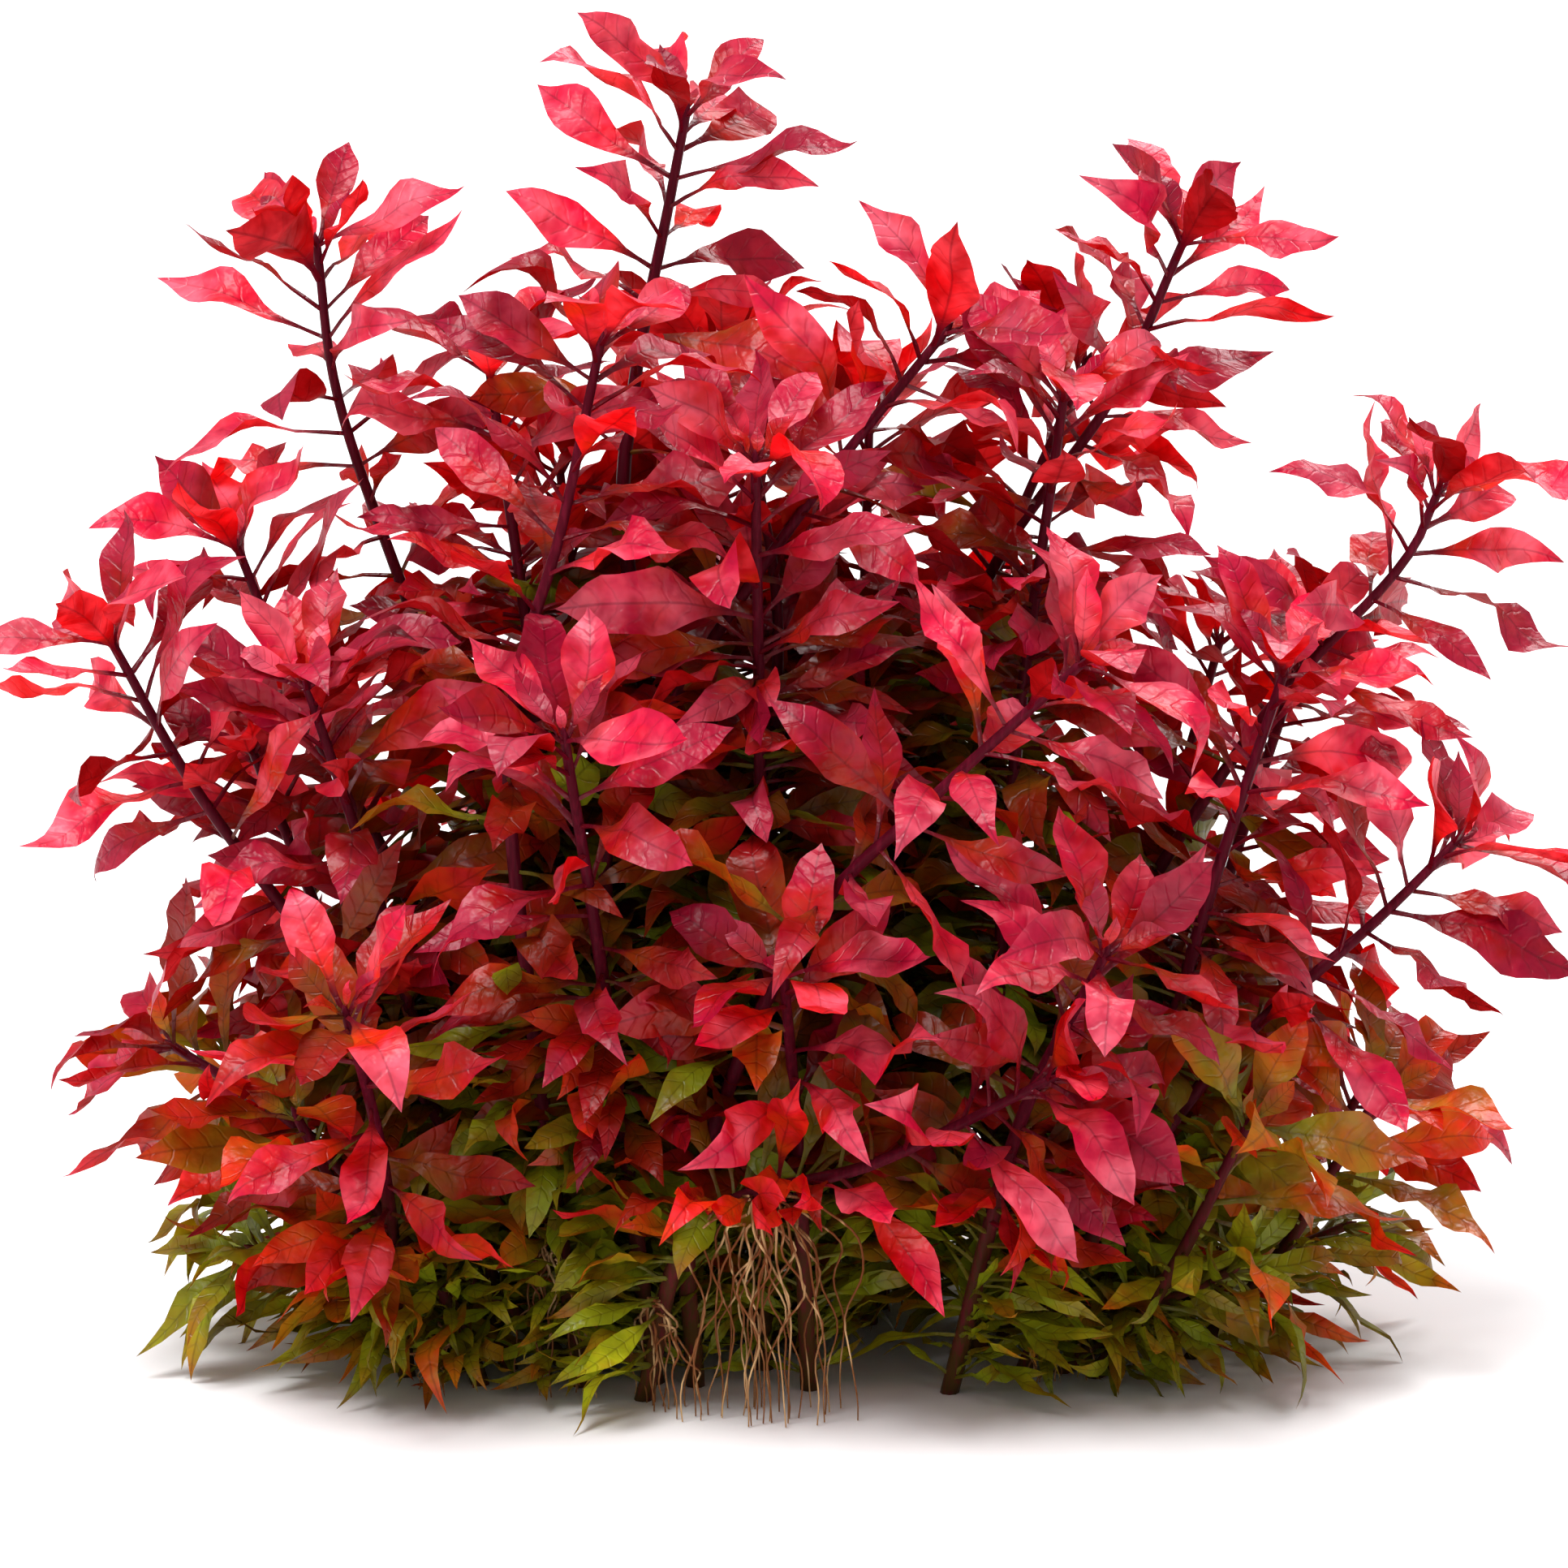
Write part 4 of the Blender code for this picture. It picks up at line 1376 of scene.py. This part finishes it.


# The upper side gets more painted sheen than the underside.
UPPER_SKIN = LeafFinish("leaf upper side", (0.76, 0.008, 0.075), painted_sheen_share=0.65, roughness=0.34, gloss=0.42)
UNDER_SKIN = LeafFinish("leaf underside", (0.62, 0.006, 0.008), painted_sheen_share=0.3, roughness=0.5, gloss=0.08)
STEM_SKIN = StemFinish(
    name="stem skin",
    low=(0.07, 0.035, 0.008),
    high=(0.075, 0.002, 0.010),
    streak=(0.15, 0.006, 0.022),
    heights=(15 * MM, 60 * MM),
    roughness=0.4,
)
ROOT_SKIN = StemFinish(
    name="root skin",
    low=(0.24, 0.10, 0.035),
    high=(0.20, 0.06, 0.02),
    # The pale tan streaks are partly the roots' own pale skin and partly painted highlight on the threads.
    streak=(0.72, 0.46, 0.22),
    heights=(5 * MM, 40 * MM),
    roughness=0.6,
    grain=520.0,
    streak_share=0.95,
)


class Habit(Enum):
    """The kinds of shoot: how red the young leaves are, how much of it fades, and the record's finish."""

    UPRIGHT = (1.0, 0.68, "leaf_crimson")
    LOW_RED = (0.95, 0.7, "leaf_orange")
    EDGE = (0.7, 0.35, "leaf_orange")
    SKIRT = (0.5, 0.3, "leaf_orange")
    GROUND = (0.2, 0.1, "leaf_green")

    def __init__(self, redness: float, fade: float, slot: str) -> None:
        """Names the three values."""
        self.redness, self.fade, self.slot = redness, fade, slot

    @staticmethod
    def of(name: str) -> "Habit":
        """The kind of a shoot, by how its name starts."""
        return next((habit for start, habit in HABIT_STARTS.items() if name.startswith(start)), Habit.UPRIGHT)


HABIT_STARTS = {
    "shoot_front_arch": Habit.LOW_RED,
    "shoot_front_middle": Habit.LOW_RED,
    "shoot_front_corner": Habit.LOW_RED,
    "shoot_left_low": Habit.EDGE,
    "shoot_right_skirt": Habit.EDGE,
    "shoot_left_corner": Habit.EDGE,
    "shoot_skirt": Habit.SKIRT,
    "shoot_ground": Habit.GROUND,
}


@dataclass
class DressedShoot:
    """One shoot with its fine stem, its leaves and the small young leaves round its bud.

    The outside is how far the clump reaches across, back and up, to tell how deep a leaf stands in its
    shade. A bud leaf's turn, pitch and size are each a first value and a step.
    """

    shoot: Shoot
    fine: list[Level]
    leaves: list[Leaf]
    growth: Growth
    sides: int = 8
    bud_rings: tuple[Pair, ...] = ((0.35, 0.85), (0.7, 0.5), (1.0, 0.12))
    bud_leaves: int = 4
    bud_turn: Pair = (0.5, 1.55)
    bud_pitch: Pair = (14, 6)
    bud_size: Pair = (0.2, 0.09)
    bud_size_stray: float = 0.02
    bud_swing_stray: float = 12
    bud_roll_stray: float = 10
    bud_bend: float = 40
    small_below: float = 0.55
    crown_reach: float = 3 * MM
    broad_shares: Pair = (0.75, 0.35)
    young_span: Pair = (2 * MM, 16 * MM)
    outside: Triple = (122 * MM, 88 * MM, 196 * MM)
    shade_span: Pair = (0.08, 0.45)
    bright_range: Pair = (0.3, 1.0)
    # Painted shade: how much darker leaves deep in the clump are coloured. It fades out towards the ground.
    painted_shade_share: float = 0.6
    painted_shade_from: float = 45 * MM
    age_span: Pair = (20 * MM, 110 * MM)
    low_span: Pair = (12 * MM, 90 * MM)
    fade_range: Pair = (0.3, 1.7)
    ground_fade: float = 0.36
    shade_fade: float = 0.28
    shade_range: Pair = (0.4, 1.6)
    green_below: float = 24 * MM
    green_shares: tuple[float, ...] = (0.0, 0.0, 0.0, 0.2, 0.45, 0.8)
    redness_stray: float = 0.17

    def stem_piece(self, material: Material) -> Object:
        """The stem, from its cut foot to its pointed bud.

        Args:
            material: The stem's finish.

        Returns:
            The stem as one object.
        """
        crown = self.fine[-1]
        levels, radii = list(self.fine), [level.radius for level in self.fine]
        for rise, share in self.bud_rings:
            centre = crown.centre + crown.growth * self.growth.stem.bud_length * rise
            levels.append(Level(centre, crown.growth, crown.side, crown.front))
            radii.append(crown.radius * share)
        stem = Joined(self.shoot.name.replace("shoot_", "stem_"))
        stem.add_tube(TubeForm(self.sides, len(levels)).blank(), levels, radii)
        return stem.piece(material)

    def leaf_piece(self, blanks: dict[LeafKind, Blank], materials: list[Material]) -> Object:
        """The leaves, each bent from one of the blanks.

        Args:
            blanks: The flat leaves.
            materials: The finishes of the upper and the lower side.

        Returns:
            The leaves as one object.
        """
        draw = Random(self.shoot.name + " blades")
        foliage = Joined(self.shoot.name.replace("shoot_", "leaves_"))
        for leaf, kind in self.leaf_kinds(draw):
            sprung = Sprung.drawn(draw, 1.0 - eased(leaf.from_tip, *self.young_span))
            tint = (self.brightness(leaf, draw), self.redness(leaf, draw))
            foliage.add_leaf(kind, blanks[kind], leaf, sprung, tint)
        return foliage.piece(*materials)

    def leaf_kinds(self, draw: Random) -> Iterator[tuple[Leaf, LeafKind]]:
        """Chooses a form for each leaf, then draws the small leaves that close over the bud.

        Args:
            draw: The shoot's chance.

        Yields:
            Each leaf with its form.
        """
        for leaf in self.leaves:
            if leaf.base.z < self.green_below:
                yield leaf, LeafKind.NARROW
            elif leaf.length < self.small_below * self.growth.leaf.length:
                yield leaf, LeafKind.SMALL
            else:
                broad_share = self.broad_shares[leaf.from_tip >= self.crown_reach]
                yield leaf, LeafKind.BROAD if draw.random() < broad_share else LeafKind.MATURE
        young = []
        for number in range(self.bud_leaves):
            face, pitch, size = (
                first + step * number for first, step in (self.bud_turn, self.bud_pitch, self.bud_size)
            )
            size += stray(draw, self.bud_size_stray)
            swing, roll = stray(draw, self.bud_swing_stray), stray(draw, self.bud_roll_stray)
            plan = Plan(self.fine[-1], face, swing, pitch, size, self.bud_bend, roll)
            young.append((self.growth.leaf.leaf(plan), LeafKind.SMALL))
        yield from young

    def inwardness(self, leaf: Leaf) -> float:
        """How deep a leaf stands in the clump's shade, from 0 at its outside to 1."""
        middle = leaf.spine(0.7)
        spread = 0.6 + 0.4 * eased(middle.z, 0.0, 60 * MM)
        x, y, z = (coordinate / reach for coordinate, reach in zip(middle, self.outside))
        return eased(1.0 - sqrt((x * x + y * y) / spread**2 + z * z), *self.shade_span)

    def brightness(self, leaf: Leaf, draw: Random) -> float:
        """How bright a leaf is, from 0 to 1. Shaded leaves are dull."""
        # Painted shade: leaves deep in the clump get a darker colour, on top of a random tone.
        shade = self.painted_shade_share * self.inwardness(leaf) * eased(leaf.base.z, 0.0, self.painted_shade_from)
        return draw.uniform(*self.bright_range) * (1.0 - shade)

    def redness(self, leaf: Leaf, draw: Random) -> float:
        """How red a leaf is: less when it is old, shaded or near the ground.

        Args:
            leaf: The leaf.
            draw: The shoot's chance.

        Returns:
            The redness, from 0 to 1.
        """
        habit = Habit.of(self.shoot.name)
        age = eased(leaf.from_tip, *self.age_span)
        lowness = age * (1.0 - eased(leaf.base.z, *self.low_span))
        red = habit.redness - habit.fade * age * draw.uniform(*self.fade_range) - self.ground_fade * lowness
        red -= self.shade_fade * self.inwardness(leaf) * draw.uniform(*self.shade_range)
        if leaf.base.z < self.green_below:
            red *= draw.choice(self.green_shares)
        return min(1.0, max(0.0, red + stray(draw, self.redness_stray)))


@dataclass
class RootTuft:
    """A tuft of fine thread roots that hang from a knot to the ground."""

    tuft: Tuft
    thread_radius: float = 0.24 * MM
    tip_radius: float = 0.12 * MM
    rings: int = 22
    sides: int = 5
    fan_stray: float = 0.35
    fan_share: float = 0.55
    knot_share: float = 0.2
    knot_stray: float = 2.5
    lean_range: Pair = (-0.7, 0.12)
    early_range: Pair = (0.25, 1.0)
    sway_range: Pair = (0.3, 2.6)
    turn_range: Pair = (0.7, 1.3)
    lean_sway: float = 0.6
    loose_power: float = 0.7
    drop_power: float = 1.25

    def piece(self, material: Material) -> Object:
        """Models the tuft's threads.

        Args:
            material: The roots' finish.

        Returns:
            The tuft as one object.
        """
        draw = Random(self.tuft.name + " threads")
        blank = TubeForm(self.sides, self.rings).blank()
        threads = Joined(self.tuft.name.replace("roots_", "threads_"))
        thinning = self.tip_radius - self.thread_radius
        radii = [self.thread_radius + thinning * i / (self.rings - 1) for i in range(self.rings)]
        for number in range(self.tuft.threads):
            threads.add_tube(blank, self.rings_along(self.route(number, draw)), radii)
        return threads.piece(material)

    def route(self, number: int, draw: Random) -> list[Vector]:
        """The points of one thread, from the knot to the ground. Most threads hang close to the knot.

        Args:
            number: The thread's number, which spreads the threads across the tuft.
            draw: The tuft's chance.

        Returns:
            The points.
        """
        knot, lean = Vector(self.tuft.knot) * MM, Vector(self.tuft.lean)
        across = UP.cross(lean)
        place = 2 * number / (self.tuft.threads - 1) - 1
        fan = place * abs(place) + stray(draw, self.fan_stray)
        spread = self.tuft.spread * MM
        start = knot + across * place * spread * self.knot_share + UP * stray(draw, self.knot_stray) * MM
        reach = across * fan * spread * self.fan_share + lean * draw.uniform(*self.lean_range) * spread
        sways = [(draw.uniform(*self.sway_range) / i, draw.uniform(*self.turn_range) * i) for i in (1, 2, 3)]
        phases = [draw.uniform(0, 2 * pi) for _ in range(6)]
        early = draw.uniform(*self.early_range)
        points = []
        for i in range(self.rings):
            share = i / (self.rings - 1)
            loose = sin(pi * share**self.loose_power) * MM
            point = start + reach * sin(share * pi / 2) ** early
            for (sway, turns), phase, lean_phase in zip(sways, phases, phases[3:]):
                point += across * loose * sway * sin(2 * pi * turns * share + phase)
                point += lean * loose * sway * self.lean_sway * sin(2 * pi * turns * share + lean_phase)
            point.z = start.z * (1.0 - share**self.drop_power) + self.tip_radius * share
            points.append(point)
        return points

    def rings_along(self, route: list[Vector]) -> list[Level]:
        """Rings across a thread.

        Args:
            route: The thread's points.

        Returns:
            A ring at each point.
        """
        levels = []
        side = Vector((1.0, 0.0, 0.0))
        for before, point, after in zip([route[0], *route], route, [*route[1:], route[-1]]):
            ahead = (after - before).normalized()
            side = (side - ahead * side.dot(ahead)).normalized()
            levels.append(Level(point, ahead, side, ahead.cross(side)))
        return levels


@dataclass(frozen=True)
class Lamp:
    """A far and soft light that shines from a direction over some degrees."""

    name: str
    place: Triple
    strength: float
    spread: float = 30

    def hang(self) -> None:
        """Puts the light in the scene."""
        data = bpy.data.lights.new(self.name, "SUN")
        data.angle, data.energy = radians(self.spread), self.strength
        lamp = bpy.data.objects.new(self.name, data)
        lamp.location = self.place
        lamp.rotation_euler = Vector(self.place).to_track_quat("Z", "Y").to_euler()
        bpy.context.scene.collection.objects.link(lamp)


@dataclass(frozen=True)
class Studio:
    """The pale floor, the soft lights and the camera at the photograph's angle."""

    picture_side: int = 1932
    metres_per_pixel: float = 0.13 * MM
    ground_row: int = 1650
    distance: float = 0.9
    elevation: float = radians(9.5)
    sensor: float = 36.0
    floor_side: float = 60.0
    floor_drop: float = 0.05 * MM
    floor_grey: float = 0.93
    floor_roughness: float = 0.9
    white: Triple = (1.0, 1.0, 1.0)
    sky: float = 0.5
    clip: Pair = (0.01, 100.0)
    lamps: tuple[Lamp, ...] = (Lamp("key", (-0.6, -0.7, 2.0), 3.4), Lamp("back", (0.5, 1.2, 1.4), 2.2))

    def camera(self) -> None:
        """Sets the camera so that the ground under the clump falls on the photograph's ground row."""
        below = (self.ground_row - self.picture_side / 2) * self.metres_per_pixel
        flat, rise = self.distance * cos(self.elevation), self.distance * sin(self.elevation)
        aim = below * self.distance / (flat - below * sin(self.elevation))
        data = bpy.data.cameras.new("camera")
        data.sensor_width = self.sensor
        data.lens = self.sensor * self.distance / (self.picture_side * self.metres_per_pixel)
        data.clip_start, data.clip_end = self.clip
        eye = bpy.data.objects.new("camera", data)
        eye.location = (0.0, -flat, aim + rise)
        eye.rotation_euler = (pi / 2 - self.elevation, 0.0, 0.0)
        bpy.context.scene.collection.objects.link(eye)
        bpy.context.scene.camera = eye

    def floor(self) -> None:
        """A wide pale floor."""
        Bench.clear()
        bpy.ops.mesh.primitive_plane_add(size=self.floor_side, location=(0, 0, -self.floor_drop))
        ground = bpy.context.object
        ground.name = "studio_floor"
        paint, board, skin = NodeBoard.for_material("pale floor")
        board.fill(skin, {"Base Color": (self.floor_grey,) * 3, "Roughness": self.floor_roughness})
        ground.data.materials.append(paint)

    def set_up(self) -> None:
        """Sets the camera, the floor, the lights and how brightness is shown."""
        self.camera()
        self.floor()
        for lamp in self.lamps:
            lamp.hang()
        world = bpy.data.worlds.new("studio")
        world.use_nodes = True
        board = NodeBoard(world.node_tree)
        board.fill(world.node_tree.nodes["Background"], {"Color": self.white, "Strength": self.sky})
        bpy.context.scene.world = world
        bpy.context.scene.view_settings.view_transform = "Standard"


def build_shoots(nodes: dict[str, Object]) -> None:
    """Builds every shoot's stem and leaves in the place of its solid.

    Args:
        nodes: The solids by name.
    """
    growth = Growth()
    room = Room()
    dressed = []
    for shoot, radius, corners in growth.shoots(nodes):
        fine = growth.stem.levels(shoot, radius, growth.fine_step)
        leaves = list(growth.solid_leaves(shoot, radius, corners))
        for leaf in leaves:
            room.take(*leaf.ribbon(), shared=True)
        dressed.append(DressedShoot(shoot, fine, leaves, growth))
    for each in dressed:
        each.leaves += growth.green_leaves(each.shoot, each.fine, room)
    for number in range(len(growth.passes)):
        for each in dressed:
            each.leaves += growth.small_leaves(each.shoot, each.fine, room, number)
    blanks = {kind: kind.value.blank() for kind in LeafKind}
    skins = [UPPER_SKIN.material(), UNDER_SKIN.material()]
    bark = STEM_SKIN.material()
    for each in dressed:
        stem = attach(each.stem_piece(bark), "root")
        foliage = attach(each.leaf_piece(blanks, skins), "root")
        Habit.of(each.shoot.name).slot
        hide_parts(each.shoot.name)
        log.info("%s: %d leaves, %d faces", each.shoot.name, len(each.leaves), len(foliage.data.polygons))
    log.info("%d shoots, %d leaves", len(dressed), sum(len(each.leaves) for each in dressed))


def build_roots() -> None:
    """Builds every root tuft in the place of its solid."""
    skin = ROOT_SKIN.material()
    for tuft in TUFTS:
        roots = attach(RootTuft(tuft).piece(skin), "root")
        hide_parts(tuft.name)
        log.info("%s: %d threads", tuft.name, tuft.threads)


def main() -> None:
    """Builds the clump round its solids, then the studio."""
    logging.basicConfig(level=logging.INFO, format="%(message)s")
    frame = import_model()
    Bench.clear()
    build_shoots(frame["nodes"])
    build_roots()
    Studio().set_up()


if __name__ == "__main__":
    main()
